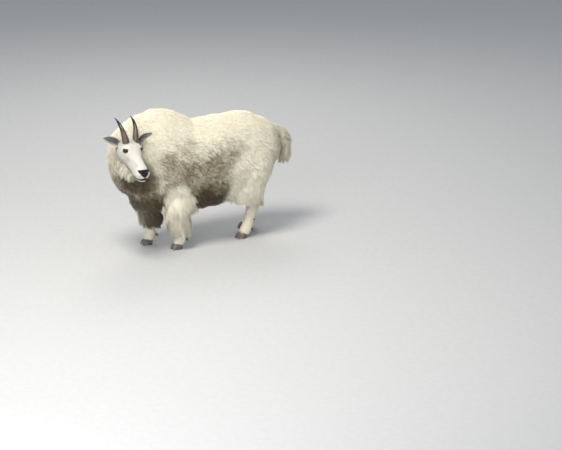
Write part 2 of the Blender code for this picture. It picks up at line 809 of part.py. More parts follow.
def stand_on_origin(objects):
    """Moves the goat so that the middle of its outline on the floor is the origin."""
    corners = [Vector(v.co) for thing in objects for v in thing.data.vertices]
    low = Vector([min(c[k] for c in corners) for k in range(3)])
    high = Vector([max(c[k] for c in corners) for k in range(3)])
    step = Vector((-(low.x + high.x) / 2, -(low.y + high.y) / 2, -low.z))
    for thing in objects:
        thing.data.transform(Matrix.Translation(step))


def build_head(place, neck):
    """The head and all that it carries."""
    eyes = [eye("eye_left", 1, place), eye("eye_right", -1, place)]
    horns = [horn("horn_left", 1, place), horn("horn_right", -1, place)]
    ears = [ear("ear_left", 1, place), ear("ear_right", -1, place)]
    pad = nose(place)
    head = tube_solid("head", head_tube(), 22, 26, place)
    combine(head, [lids(1, place), lids(-1, place)], "UNION")
    combine(head, [mouth_groove(place)], "DIFFERENCE")
    clear_of(head, pad, *eyes)
    clear_of(neck, head)
    clear_of(neck, *horns, *ears)
    for part in horns + ears:
        clear_of(part, head)
    return head, pad, eyes, horns, ears


def build_body():
    """The trunk, neck, tail and legs as one smooth surface, which is then parted."""
    tubes = [
        tube_solid("trunk_form", trunk_tube(), 30, 40),
        tube_solid("neck_form", Tube(NECK, UP, peaks=[NECK_PEAK] * 2), 16, 32),
        tube_solid("throat_form", Tube(THROAT, UP), 10, 24),
        tube_solid("tail_form", Tube(slimmer(TAIL, TAIL_CORE), UP - FORWARD), 16, 18),
    ]
    for name, (side, y, fore) in FEET.items():
        upper, shank = (FORELEG, FORE_SHANK) if fore else (HINDLEG, HIND_SHANK)
        upper = slimmer(upper, FORE_CORE if fore else HIND_CORE)
        tubes.append(tube_solid(name + "_form", Tube(leg_rows(upper, name), FORWARD), 18, 24))
        tubes.append(tube_solid(name + "_shank_form", Tube(leg_rows(shank, name), FORWARD), 14, 16))
    torso = blended("torso", tubes, 0.010, 8, BODY_TRIANGLES)
    parts = []
    for name, (side, y, fore) in FEET.items():
        cut = FORE_CUT if fore else HIND_CUT
        inner, outer = sorted((side * 0.012, side * 0.400))
        shank = block("region", (inner, y - 0.30, -0.1), (outer, y + 0.30, cut))
        parts.append(part_off(torso, name + "_shank", shank))
        if fore:
            upper = block("region", (inner, y - 0.20, 0), (outer, y + 0.20, 0.50), 0.25, (0, y, 0.50))
        else:
            upper = block("region", (inner, 0.27, 0), (outer, TAIL_CUT, 0.64), 0.20, (0, TAIL_CUT, 0.64))
        parts.append(part_off(torso, name, upper))
    neck = block("region", (-0.5, -0.9, -0.3), (0.5, -0.300, 1.3), -0.33, (0, -0.300, 0.70))
    neck = part_off(torso, "neck", neck)
    tail = block("region", (-0.3, TAIL_CUT, 0.2), (0.3, 1.2, 1.0), -0.06, (0, TAIL_CUT, 0.75))
    tail = part_off(torso, "tail", tail)
    return torso, neck, tail, parts


def build_feet(name, side, y, shank):
    """Two claws and two dewclaws, and the shank cut clear of them."""
    hard = []
    for inner in (True, False):
        word = "inner" if inner else "outer"
        toward = inner if side < 0 else not inner
        hard.append(claw(f"{name}_claw_{word}", side, toward, y))
        hard.append(dewclaw(f"{name}_dewclaw_{word}", side, toward, y))
    for piece in hard[1::2]:
        clear_of(piece, shank)
    clear_of(shank, hard[0], hard[2])
    return hard


def main():
    for thing in list(bpy.data.objects):
        bpy.data.objects.remove(thing)
    coat = material("coat", COAT, 0.9)
    face = material("face", FACE, 0.85)
    horn_black = material("horn", HORN, 0.35)
    hoof_black = material("hoof", HOOF, 0.5)
    eye_dark = material("eye", EYE, 0.1)
    nose_black = material("nose", NOSE, 0.45)

    torso, neck, tail, legs = build_body()
    head, pad, eyes, horns, ears = build_head(head_matrix(), neck)
    hard = []
    for name, (side, y, _) in FEET.items():
        hard += build_feet(name, side, y, bpy.data.objects[name + "_shank"])

    chance = random.Random(SEED)
    others = [torso, neck, tail, head] + legs + hard
    for name, (_, _, fore) in FEET.items():
        rows, shares = (FORELEG, FORE_CORE) if fore else (HINDLEG, HIND_CORE)
        core = Tube(leg_rows(slimmer(rows, shares), name), FORWARD)
        outline = Tube(leg_rows(rows, name), FORWARD)
        rings = FORE_LOCKS if fore else HIND_LOCKS
        locks = locks_round(core, outline, rings, chance)
        leg = bpy.data.objects[name]
        add_locks(leg, locks, [other for other in others if other is not leg])
    core, outline = Tube(slimmer(TAIL, TAIL_CORE), UP - FORWARD), Tube(TAIL, UP - FORWARD)
    locks = locks_round(core, outline, TAIL_LOCKS, chance)
    add_locks(tail, locks, [torso] + legs)
    add_locks(neck, chest_locks(chance), [torso, head] + legs + ears)
    tuft = beard(head_matrix(), head)

    for group, finish in (
        ([torso, neck, tail, tuft] + legs, coat),
        ([head] + ears, face),
        (horns, horn_black),
        (hard, hoof_black),
        (eyes, eye_dark),
        ([pad], nose_black),
    ):
        for thing in group:
            dress(thing, finish)
    stand_on_origin([torso, neck, tail, head, tuft, pad] + legs + ears + horns + eyes + hard)


main()
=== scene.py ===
"""The looks of the mountain goat: skin, coat, head, horns, hooves, floor, light and camera.

Metres, +Z up. The goat faces -Y and its left side is +X. Shapes are worked out in the body's own
frame, whose origin is on the floor under the withers, and put down where the frame's eyes are.
"""

import math
from collections import namedtuple

import bmesh
import bpy
import numpy as np
from mathutils import Matrix, Vector
from mathutils.bvhtree import BVHTree
from mathutils.kdtree import KDTree


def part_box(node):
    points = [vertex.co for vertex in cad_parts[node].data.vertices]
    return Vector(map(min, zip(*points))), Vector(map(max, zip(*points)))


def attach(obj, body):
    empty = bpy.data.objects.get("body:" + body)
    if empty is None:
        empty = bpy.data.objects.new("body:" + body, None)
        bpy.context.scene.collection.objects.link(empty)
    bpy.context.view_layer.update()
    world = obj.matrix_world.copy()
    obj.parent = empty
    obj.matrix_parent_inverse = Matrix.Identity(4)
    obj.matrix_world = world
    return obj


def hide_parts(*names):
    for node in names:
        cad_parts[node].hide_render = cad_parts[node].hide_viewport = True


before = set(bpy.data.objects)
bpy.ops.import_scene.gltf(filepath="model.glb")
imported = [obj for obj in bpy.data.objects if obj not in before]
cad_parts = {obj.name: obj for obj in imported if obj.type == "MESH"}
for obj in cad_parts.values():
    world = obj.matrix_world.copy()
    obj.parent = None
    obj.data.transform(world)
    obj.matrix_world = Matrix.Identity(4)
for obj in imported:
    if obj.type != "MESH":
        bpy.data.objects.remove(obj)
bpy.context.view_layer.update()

SEED = 11
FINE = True
COVER = 0.93 if FINE else 0.35  # tufts grown, as a share of those in the table of hair

# The head's own frame: its origin is midway between the horn bases
HEAD_AT = Vector((0.1925, -0.433, 0.874))
HEAD_YAW = math.radians(91)
HEAD_PITCH = math.radians(37)
HEAD_ROLL = math.radians(2)
STANCE = 0.105
EYE_AT = Vector((0.064, -0.06, -0.022))
EYE_RADIUS = 0.0172
EYE_DEPTH = 0.006  # how far inside its place in the solids each eye is set
HORN_LENGTH = 0.212
HORN_RADIUS = 0.024
EAR_LENGTH = 0.122
EAR_THICK = 0.0028
HOOF_HEIGHT = 0.042
UP = (0, 0, 1)
FORWARD = (0, -1, 0)
SIDES = {1: "left", -1: "right"}

# One row of a tube: its middle, its half width, and its reach to each side of the middle along
# the tube's second direction, which is up on the body and forward on a leg
Row = namedtuple("Row", "x y z across ahead behind")


def in_metres(*rows):
    """Rows given in millimetres."""
    return [tuple(size / 1000 for size in row) for row in rows]


def tube_rows(*rows):
    return [Row(*row) for row in in_metres(*rows)]


# The trunk: y, top, bottom, half width, how much narrower it is at the top
TRUNK = [
    (-0.392, 0.84, 0.428, 0.096, 0.2),
    (-0.33, 0.97, 0.345, 0.142, 0.34),
    (-0.25, 1.018, 0.3, 0.172, 0.4),
    (-0.165, 1.032, 0.28, 0.2, 0.38),
    (-0.06, 0.99, 0.268, 0.214, 0.3),
    (0.06, 0.932, 0.258, 0.227, 0.2),
    (0.18, 0.918, 0.256, 0.235, 0.12),
    (0.32, 0.924, 0.268, 0.24, 0.1),
    (0.46, 0.944, 0.32, 0.232, 0.1),
    (0.58, 0.938, 0.4, 0.214, 0.1),
    (0.7, 0.896, 0.47, 0.18, 0.08),
    (0.79, 0.85, 0.54, 0.134, 0.0),
    (0.84, 0.786, 0.61, 0.072, 0.0),
]
TRUNK_WIDEST = 0.43
NECK = tube_rows(
    (0, -100, 690, 188, 300, 330), (0, -240, 695, 174, 318, 330),
    (-4, -340, 704, 152, 298, 280), (-2, -415, 716, 122, 248, 222),
    (6, -472, 724, 84, 162, 140), (12, -504, 728, 30, 58, 54),
)
NECK_PEAK = 0.35
THROAT = tube_rows(
    (-80, -350, 770, 120, 130, 170), (0, -380, 780, 122, 118, 165),
    (80, -405, 790, 106, 92, 150), (140, -420, 782, 76, 62, 112),
    (165, -424, 780, 40, 30, 60),
)
TAIL = tube_rows(
    (0, 770, 775, 62, 50, 55), (0, 842, 746, 66, 52, 52),
    (0, 886, 695, 64, 52, 48), (0, 908, 635, 62, 50, 44),
    (0, 908, 570, 50, 40, 40), (0, 898, 508, 14, 12, 12),
)
# Legs, with x and y from the middle of the foot
FORELEG = tube_rows(
    (-10, -30, 600, 70, 120, 130), (0, -35, 480, 92, 122, 125),
    (4, -36, 370, 96, 106, 112), (2, -22, 270, 92, 104, 108),
    (0, -8, 175, 88, 94, 108), (0, 2, 125, 66, 64, 88),
)
FORE_SHANK = tube_rows(
    (0, -12, 240, 37, 36, 40), (0, -10, 115, 37, 36, 40),
    (0, -6, 85, 41, 40, 50), (0, -16, 50, 42, 46, 44),
    (0, -24, 30, 40, 48, 40),
)
HINDLEG = tube_rows(
    (-5, 30, 690, 112, 190, 205), (10, 12, 560, 122, 205, 196),
    (13, 10, 450, 112, 200, 172), (10, 35, 350, 90, 190, 118),
    (5, 66, 275, 72, 168, 80), (0, 62, 210, 54, 124, 60),
)
HIND_SHANK = tube_rows(
    (0, 66, 330, 40, 46, 48), (0, 60, 230, 40, 44, 46),
    (0, 34, 150, 37, 40, 40), (0, 10, 85, 41, 42, 48),
    (0, -4, 50, 42, 48, 44), (0, -14, 30, 40, 50, 40),
)
FORE_CORE = (1.0, 0.98, 0.84, 0.72, 0.62, 0.56)
HIND_CORE = (1.0, 0.98, 0.94, 0.78, 0.58, 0.4)
TAIL_CORE = (1.0, 0.92, 0.72, 0.64, 0.58, 0.46)
FORE = (FORELEG, FORE_SHANK, FORE_CORE)
HIND = (HINDLEG, HIND_SHANK, HIND_CORE)
# Where each foot stands: side, y, and the rows of its leg
FEET = {
    "foreleg_left": (1, 0.0, FORE),
    "foreleg_right": (-1, -0.134, FORE),
    "hindleg_left": (1, 0.53, HIND),
    "hindleg_right": (-1, 0.67, HIND),
}
LEAN = {"foreleg_left": -0.04, "foreleg_right": 0.12, "hindleg_left": 0.04, "hindleg_right": -0.18}

# The head along its own axis: forward, top, bottom, half width
HEAD = in_metres(
    (-75, -30, -120, 42), (-50, -10, -150, 66), (-10, 2, -168, 78),
    (35, 8, -176, 78), (72, 4, -172, 72), (114, -6, -158, 61),
    (156, -9, -146, 53), (198, -6, -140, 50), (232, -10, -137, 51),
    (254, -22, -134, 47), (271, -37, -129, 39), (284, -56, -118, 27),
    (290, -70, -106, 16), (292, -84, -94, 5),
)
HEAD_WIDEST = 0.58
# Swellings and hollows of the head: forward, side, up, reach of each, and height
HEAD_RELIEF = [
    (0.05, 0.058, -0.008, 0.036, 0.009),  # socket of the eye
    (0.098, 0.064, -0.058, 0.022, 0.004),  # cheekbone
    (0.03, 0.076, -0.11, 0.038, 0.006),  # jaw muscle
    (0.145, 0.054, -0.045, 0.028, -0.005),  # hollow beside the nose
    (0.262, 0.036, -0.064, 0.02, 0.008),  # upper lip
    (0.286, 0.0, -0.086, 0.017, 0.005),  # lower lip
    (0.272, 0.0, -0.124, 0.024, 0.007),  # chin
    (0.098, 0.052, -0.048, 0.011, -0.003),  # tear line
    (0.262, 0.04, -0.04, 0.019, 0.008),  # wing of the nostril
    (0.01, 0.0, 0.004, 0.034, 0.005),  # forehead between the horns
]
EAR_REACH = {1: (0.1, 0.03, 0.045), -1: (-0.098, 0.072, 0.012)}
MUZZLE_AT = np.array((0, -0.22, -0.066))  # the middle of the muzzle, in the head's frame
PAD_PITCH = math.radians(37)  # how far above straight ahead the middle of the nose pad is

# How far the skin lies under the tips of the coat
BACK_DEPTH = 0.009
NECK_DEPTH = 0.012
LEG_DEPTH = 0.017
TAIL_DEPTH = 0.018
SHANK_DEPTH = 0.006
HEAD_DEPTH = 0.003
PAD_HOLLOW = 0.017  # how deep the head is hollowed behind the nose pad
SKIN_VOXEL = 0.009  # the cells in which the forms are joined


def head_matrix():
    """Carries the head's frame (left, backward, up) to the body's."""
    turn = Matrix.Rotation(HEAD_YAW, 4, "Z")
    nod = Matrix.Rotation(HEAD_PITCH, 4, "X")
    tip = Matrix.Rotation(HEAD_ROLL, 4, "Y")
    return Matrix.Translation(HEAD_AT) @ turn @ nod @ tip


HEAD_PLACE = head_matrix()
EYE_LOW, EYE_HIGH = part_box("eye_left")
STAND = (EYE_LOW + EYE_HIGH) / 2 - HEAD_PLACE @ EYE_AT  # from the body's frame to the model's
STAND.z = 0


def lengths(vectors):
    return np.linalg.norm(vectors, axis=1)


def pairs(first, second):
    """Every pair of a value of the first and one of the second, as two flat arrays."""
    return [m.ravel() for m in np.meshgrid(first, second, indexing="ij")]


def circle(sides):
    return np.arange(sides) * math.tau / sides


def unit(vectors):
    return vectors / np.maximum(np.linalg.norm(vectors, axis=-1, keepdims=True), 1e-9)


def dot(a, b):
    return (a * b).sum(axis=-1, keepdims=True)


def ramp(low, high, value):
    """0 at low, 1 at high, smooth between them, for either order of the two."""
    t = np.clip((value - low) / (high - low), 0, 1)
    return t * t * (3 - 2 * t)


def bell(value):
    """1 at 0, and towards 0 beyond 1 on both sides."""
    return np.exp(-(value**2))


def waves(points, size, seed):
    """A smooth random field between about -1 and 1, whose swells are about this size."""
    chance = np.random.default_rng(seed)
    total = np.zeros(len(points))
    for _ in range(9):
        way = chance.normal(size=3)
        way *= math.tau / size / np.linalg.norm(way) * chance.uniform(0.6, 1.4)
        total += np.sin(points @ way + chance.uniform(0, math.tau))
    return total / 3


def to_head(points):
    inverse = np.array(HEAD_PLACE.inverted())
    return points @ inverse[:3, :3].T + inverse[:3, 3]


def from_head(points):
    place = np.array(HEAD_PLACE)
    return points @ place[:3, :3].T + place[:3, 3]


def head_way(vectors):
    """Directions in the head's frame turned to the body's."""
    return vectors @ np.array(HEAD_PLACE.to_3x3()).T


class Tube:
    """A closed tube through rows, whose sections are ovals that squareness above 2 makes boxier."""

    def __init__(self, rows, reference, squareness=2.0, peaks=None):
        self.table = np.array(rows, float)
        steps = lengths(np.diff(self.table[:, :3], axis=0))
        self.place = np.concatenate([[0], np.cumsum(steps)]) / steps.sum()
        self.slope = np.gradient(self.table, self.place, axis=0)
        self.reference = np.array(reference, float)
        self.power = 2 / squareness
        self.peaks = peaks

    def rows_at(self, at):
        at = np.clip(at, 0, 1)
        i = np.clip(np.searchsorted(self.place, at) - 1, 0, len(self.table) - 2)
        width = (self.place[i + 1] - self.place[i])[:, None]
        t = (at - self.place[i])[:, None] / width
        from_first = self.table[i] * (1 + 2 * t) + self.slope[i] * width * t
        from_second = self.table[i + 1] * (3 - 2 * t) + self.slope[i + 1] * width * (t - 1)
        return from_first * (1 - t) ** 2 + from_second * t * t

    def points(self, at, angle):
        row = self.rows_at(at)
        along = unit(self.rows_at(at + 0.01)[:, :3] - self.rows_at(at - 0.01)[:, :3])
        ahead = unit(self.reference - along * dot(along, self.reference))
        side = np.cross(along, ahead)
        c, s = np.cos(angle), np.sin(angle)
        c = np.sign(c) * np.abs(c) ** self.power
        s = np.sign(s) * np.abs(s) ** self.power
        if self.peaks:
            narrow = np.interp(at * (len(self.peaks) - 1), range(len(self.peaks)), self.peaks)
            c = c * np.where(s > 0, 1 - narrow * s, 1)
        across, ahead_size, behind = np.maximum(row[:, 3:], 0.001).T
        reach = np.where(s > 0, ahead_size, behind) * s
        return row[:, :3] + side * (across * c)[:, None] + ahead * reach[:, None]

    def grid(self, shares, turns):
        """Points ring by ring, with one more in the middle of each end."""
        ends = self.rows_at(np.array([shares[0], shares[-1]]))[:, :3]
        return np.concatenate([self.points(*pairs(shares, turns)), ends])


def tube_faces(rings, sides):
    """Faces for the points that Tube.grid gives."""
    r, k = pairs(np.arange(rings - 1), np.arange(sides))
    a, b = r * sides + k, r * sides + (k + 1) % sides
    quads = np.stack([a, b, b + sides, a + sides], axis=1).tolist()
    last, end = (rings - 1) * sides, rings * sides
    first_fan = [((k + 1) % sides, k, end) for k in range(sides)]
    return quads + first_fan + [(last + k, last + (k + 1) % sides, end + 1) for k in range(sides)]


def placed(name, data):
    """A new object of the scene."""
    made = bpy.data.objects.new(name, data)
    bpy.context.scene.collection.objects.link(made)
    return made


def solid(name, points, faces):
    """A smooth closed mesh object in the body's frame, with its faces turned outwards."""
    mesh = bpy.data.meshes.new(name)
    mesh.from_pydata(np.asarray(points).tolist(), [], faces)
    work = bmesh.new()
    work.from_mesh(mesh)
    bmesh.ops.recalc_face_normals(work, faces=work.faces)
    if work.calc_volume(signed=True) < 0:
        bmesh.ops.reverse_faces(work, faces=work.faces)
    work.to_mesh(mesh)
    work.free()
    mesh.shade_smooth()
    return placed(name, mesh)


def tube_solid(name, tube, rings, sides):
    return solid(name, tube.grid(np.linspace(0, 1, rings), circle(sides)), tube_faces(rings, sides))


def applied(thing):
    """Replaces the object's mesh by what its modifiers make of it."""
    graph = bpy.context.evaluated_depsgraph_get()
    mesh = bpy.data.meshes.new_from_object(thing.evaluated_get(graph))
    thing.modifiers.clear()
    thing.data = mesh
    return thing


def discard(objects):
    for thing in objects:
        bpy.data.objects.remove(thing)


def inset(rows, depth, shares=None):
    """The rows of the skin under a coat of this depth, or of the core where that is slimmer."""
    made = []
    for row, share in zip(rows, shares or [1.0] * len(rows)):
        sizes = [max(0.004, min(size * share, size - depth)) for size in row[3:]]
        made.append(Row(row.x, row.y, row.z, *sizes))
    return made


def leg_rows(rows, name):
    side, y, _ = FEET[name]
    made = []
    for row in rows:
        back = LEAN[name] * max(0.0, row.z - 0.1)
        made.append(row._replace(x=side * (row.x + STANCE), y=row.y + back + y))
    return made


def trunk_tube(depth):
    rows = []
    for y, top, bottom, half, _ in TRUNK:
        middle = bottom + (top - bottom) * TRUNK_WIDEST
        rows.append(Row(0, y, middle, half - depth, top - middle - depth, middle - bottom - depth))
    return Tube(rows, UP, squareness=2.1, peaks=[row[4] for row in TRUNK])


def head_tube():
    rows = []
    for forward, top, bottom, half in HEAD:
        middle = bottom + (top - bottom) * HEAD_WIDEST
        sizes = [max(0.001, size - HEAD_DEPTH) for size in (half, top - middle, middle - bottom)]
        rows.append(Row(0, -forward, middle, *sizes))
    return Tube(rows, UP, squareness=2.25)


def body_skin():
    """The trunk, neck, throat, tail and legs as one smooth closed surface under the coat."""
    neck = Tube(inset(NECK, NECK_DEPTH), UP, peaks=[NECK_PEAK] * 2)
    pieces = [
        tube_solid("trunk_form", trunk_tube(BACK_DEPTH), 60, 72),
        tube_solid("neck_form", neck, 30, 56),
        tube_solid("throat_form", Tube(inset(THROAT, NECK_DEPTH), UP), 20, 40),
        tube_solid("tail_form", Tube(inset(TAIL, TAIL_DEPTH, TAIL_CORE), (0, 1, 1)), 30, 30),
    ]
    for name, (_, _, (upper, shank, core)) in FEET.items():
        upper = inset(leg_rows(upper, name), LEG_DEPTH, core)
        shank = inset(leg_rows(shank, name), SHANK_DEPTH)
        pieces.append(tube_solid(name + "_form", Tube(upper, FORWARD), 36, 40))
        pieces.append(tube_solid(name + "_shank_form", Tube(shank, FORWARD), 28, 30))
    whole = bmesh.new()
    for piece in pieces:
        whole.from_mesh(piece.data)
    mesh = bpy.data.meshes.new("body_skin")
    whole.to_mesh(mesh)
    whole.free()
    discard(pieces)
    made = placed("body_skin", mesh)
    remesh = made.modifiers.new("remesh", "REMESH")
    remesh.mode = "VOXEL"
    remesh.voxel_size = SKIN_VOXEL
    smooth = made.modifiers.new("smooth", "SMOOTH")
    smooth.factor = 0.5
    smooth.iterations = 10
    return applied(made)


def surface_normals(tube, at, angle):
    along = tube.points(at + 0.006, angle) - tube.points(at - 0.006, angle)
    round_it = tube.points(at, angle + 0.04) - tube.points(at, angle - 0.04)
    return unit(np.cross(along, round_it))


def mouth_line():
    """The line of the mouth in the head's frame, from one corner round the front to the other."""
    share = np.linspace(-1, 1, 81)
    size = np.abs(share)
    half = 0.036 * np.sin(np.minimum(1, size * 1.7) * math.pi / 2) + 0.008 * size
    forward, level = 0.292 - 0.104 * size**1.3, -0.061 - 0.036 * size**0.8
    guess = np.stack([np.sign(share) * half, -forward, level], axis=1)
    tube = head_tube()
    angle, at = pairs(np.linspace(-math.pi, math.pi, 200), np.linspace(0.62, 1, 240))
    surface = tube.points(at, angle)
    surface = surface + surface_normals(tube, at, angle) * relief(surface)[:, None]
    return surface[[((surface - spot) ** 2).sum(axis=1).argmin() for spot in guess]]


def relief(places):
    """How far the head's skin stands out from its plain tube."""
    total = np.zeros(len(places))
    mirrored = np.stack([np.abs(places[:, 0]), -places[:, 1], places[:, 2]], axis=1)
    for forward, side, up, reach, height in HEAD_RELIEF:
        away = lengths(mirrored - (side, forward, up))
        total += height * bell(away / reach)
    return total


def eye_axes(side):
    """The way an eye looks out, the way its opening is long, and upright across that."""
    out = unit(np.array((side * 0.8, -0.5, 0.3)))
    level = np.array((0.45 * side, 1.0, -0.75))
    lengthwise = unit(level - out * np.dot(out, level))
    upright = np.cross(out, lengthwise)
    return out, lengthwise, upright * np.sign(upright[2])


def eye_middle(side):
    return np.array((side * EYE_AT.x, EYE_AT.y, EYE_AT.z)) - eye_axes(side)[0] * EYE_DEPTH


def eye_opening(places, side):
    """1 on the edge of the eye's opening, less inside it and more outside."""
    out, lengthwise, upright = eye_axes(side)
    away = places - eye_middle(side)
    near = lengths(away) < 0.032
    away = unit(away) * EYE_RADIUS
    u, v = away @ lengthwise, away @ upright
    size = np.abs(u / 0.0142) ** 2.2 + np.abs((v + 0.0004) / np.where(v > 0, 0.0102, 0.0084)) ** 1.8
    return np.where(near & (away @ out > 0), size, 99.0)


def with_lids(places):
    """Moves the head's skin round each eyeball, and behind it inside the opening."""
    for side in SIDES:
        middle = eye_middle(side)
        away = places - middle
        distance = lengths(away)
        size = eye_opening(places, side)
        root = np.sqrt(size)
        thick = 0.0012 + 0.0018 * bell((root - 1.16) / 0.13) + 0.0012 * ramp(1.3, 1.8, root)
        wanted = EYE_RADIUS + thick
        natural = (distance + wanted + np.sqrt((distance - wanted) ** 2 + 0.004**2)) / 2
        natural = distance + (natural - distance) * ramp(0.05, 0.03, distance)
        lifted = natural + (wanted - natural) * ramp(2.1, 1.25, root) * ramp(0.03, 0.022, distance)
        inside = EYE_RADIUS + 0.0004 - 0.0045 * ramp(1.0, 0.8, size)
        lifted = np.where(size < 1, inside, lifted)
        places = middle + away * (lifted / np.maximum(distance, 1e-6))[:, None]
    return places


def crowded(count, spots):
    """Steps from 0 to 1 that lie closer together round each (place, reach, strength)."""
    even = np.linspace(0, 1, 2001)
    crowd = np.ones(2001)
    for place, reach, strength in spots:
        crowd += strength * bell((even - place) / reach)
    total = np.cumsum(crowd)
    return np.interp(np.linspace(0, 1, count), (total - total[0]) / (total[-1] - total[0]), even)


def pad_half(s):
    """The nose pad's half width and half height in radians, for the sine of the way from its middle."""
    wide = math.radians(70) * np.where(s < 0, 1 - 0.76 * np.abs(s) ** 0.45, 1 + 0.1 * s)
    return wide, np.radians(np.where(s > 0, 27 - 6 * np.sqrt(1 - s * s), 27))


def pad_share(places):
    """0 in the middle of the nose pad and 1 on its outline, for points of the head."""
    way = unit(places - MUZZLE_AT)
    yaw, pitch = np.arctan2(way[:, 0], -way[:, 1]), np.arcsin(way[:, 2]) - PAD_PITCH
    s = np.sign(pitch) * 0.5
    for _ in range(8):
        wide, tall = pad_half(s)
        share = np.hypot(yaw / wide, pitch / tall)
        s = np.clip(pitch / tall / np.maximum(share, 1e-6), -1, 1)
    return np.where(way[:, 1] < -0.2, share, 9.0)


def head_skin(mouth):
    """The head's skin, with the line of the mouth, the lips and the lids, and its outer surface
    as a tree, without the hollow behind the nose pad."""
    tube = head_tube()
    rings, sides = (280, 250) if FINE else (170, 160)
    shares = crowded(rings, [(0.39, 0.05, 3.5), (0.83, 0.16, 1.2), (1.0, 0.035, 7.0)])
    turns = crowded(sides + 1, [(0.1, 0.045, 2.5), (0.4, 0.045, 2.5)])[:-1] * math.tau
    at, angle = pairs(shares, turns)
    places, normals = tube.points(at, angle), surface_normals(tube, at, angle)
    places = places + normals * relief(places)[:, None]
    near = np.min([lengths(places - spot) for spot in mouth], axis=0)
    lips = 0.0022 * bell((near - 0.006) / 0.004) - 0.0042 * bell(near / 0.0019)
    places = with_lids(places + normals * lips[:, None])
    places = np.concatenate([places, tube.rows_at(np.array([0.0, 1.0]))[:, :3]])
    faces = tube_faces(rings, sides)
    tree = BVHTree.FromPolygons(places.tolist(), faces)
    sink = PAD_HOLLOW * ramp(0.95, 0.8, pad_share(places))
    places = places - unit(places - MUZZLE_AT) * sink[:, None]
    return solid("head_skin", from_head(places), faces), tree


def join(target, other):
    """One closed surface round both."""
    boolean = target.modifiers.new("join", "BOOLEAN")
    boolean.operation = "UNION"
    boolean.solver = "MANIFOLD"
    boolean.object = other
    applied(target)
    discard([other])
    return target


# Finishes


class Finish:
    """A material in the making. The inputs of its nodes and shader take values, or outputs of
    other nodes."""

    def __init__(self, name, roughness):
        self.made = bpy.data.materials.new(name)
        self.made.use_nodes = True
        self.tree = self.made.node_tree
        self.shader = self.tree.nodes["Principled BSDF"]
        self.done(Roughness=roughness)

    def put(self, socket, value):
        if isinstance(value, bpy.types.NodeSocket):
            self.tree.links.new(value, socket)
        else:
            socket.default_value = (*value, 1) if socket.type == "RGBA" else value

    def fill(self, node, values):
        for name, value in values.items():
            if name in node.bl_rna.properties:
                setattr(node, name, value)
            else:
                self.put(node.inputs[name.replace("_", " ")], value)

    def done(self, **inputs):
        """Fills inputs of the shader and gives the material."""
        self.fill(self.shader, inputs)
        return self.made

    def node(self, kind, output=0, numbered=(), **values):
        """Adds a node with these values, by name or by number, and gives one of its outputs."""
        made = self.tree.nodes.new("ShaderNode" + kind)
        self.fill(made, values)
        for number, value in numbered:
            self.put(made.inputs[number], value)
        return made.outputs[output]

    def attribute(self, name, output="Fac"):
        return self.node("Attribute", output, attribute_name=name)

    def split(self, vector):
        return self.node("SeparateXYZ", Vector=vector).node.outputs

    def noise(self, scale, detail=3.0, vector=None, distortion=0.0):
        if vector is None:
            vector = self.node("TexCoord", "Object")
        return self.node("TexNoise", "Fac", Vector=vector, Scale=scale, Detail=detail, Distortion=distortion)

    def between(self, value, low, high, to_low=0.0, to_high=1.0):
        """Goes smoothly from one value to another as the input goes from low to high."""
        ends = {"From_Min": low, "From_Max": high, "To_Min": to_low, "To_Max": to_high}
        return self.node("MapRange", interpolation_type="SMOOTHSTEP", Value=value, **ends)

    def maths(self, operation, a, b=0.0):
        return self.node("Math", numbered=enumerate((a, b)), operation=operation)

    def times(self, first, *others):
        for other in others:
            first = self.maths("MULTIPLY", first, other)
        return first

    def mix(self, share, a, b, blend="MIX"):
        return self.node("Mix", 2, ((0, share), (6, a), (7, b)), data_type="RGBA", blend_type=blend)

    def blend(self, value, low, high, a, b, most=1.0):
        """Goes from colour a to colour b, or a part of the way, as the value goes from low to high."""
        return self.mix(self.between(value, low, high, 0.0, most), a, b)

    def bump(self, height, distance, strength):
        self.done(Normal=self.node("Bump", Strength=strength, Distance=distance, Height=height))


CREAM = (0.92, 0.86, 0.69)
FACE_WHITE = (0.56, 0.545, 0.49)
# Tan of the wool, also used as painted shade on the flanks, the chest, the neck front and the rump
TAN_OF_WOOL_AND_SHADE = (0.345, 0.29, 0.19)
# Brown of stains, also used as painted shade under the body and jaw and on the legs' inner sides
BROWN_OF_STAIN_AND_SHADE = (0.085, 0.055, 0.023)
# Painted grey shade, for the creases of the face and the beard
PAINTED_SHADE_GREY = (0.2, 0.19, 0.17)


def markings(m, head):
    """The colours of the coat, the same for skin and tufts: cream, a whiter face, tan-grey flanks that are
    part the wool's tan and part painted shade, a brown underside and throat that are part stain and
    part painted shade, and painted grey shade in the creases of the face."""
    broad, fine = m.noise(9.0, 4.0), m.noise(60.0, 4.0, distortion=0.6)
    tan_and_shade, brown, grey_painted_shade = m.split(m.attribute("tone", "Vector"))
    ruffled = m.times(m.between(broad, 0.3, 0.65, 0.72, 1.1), m.between(fine, 0.35, 0.65, 0.75, 1.1))
    colour = m.mix(head, CREAM, FACE_WHITE)
    colour = m.mix(m.maths("MINIMUM", m.times(tan_and_shade, ruffled), 1.0), colour, TAN_OF_WOOL_AND_SHADE)
    return m.mix(grey_painted_shade, m.mix(brown, colour, BROWN_OF_STAIN_AND_SHADE), PAINTED_SHADE_GREY), tan_and_shade


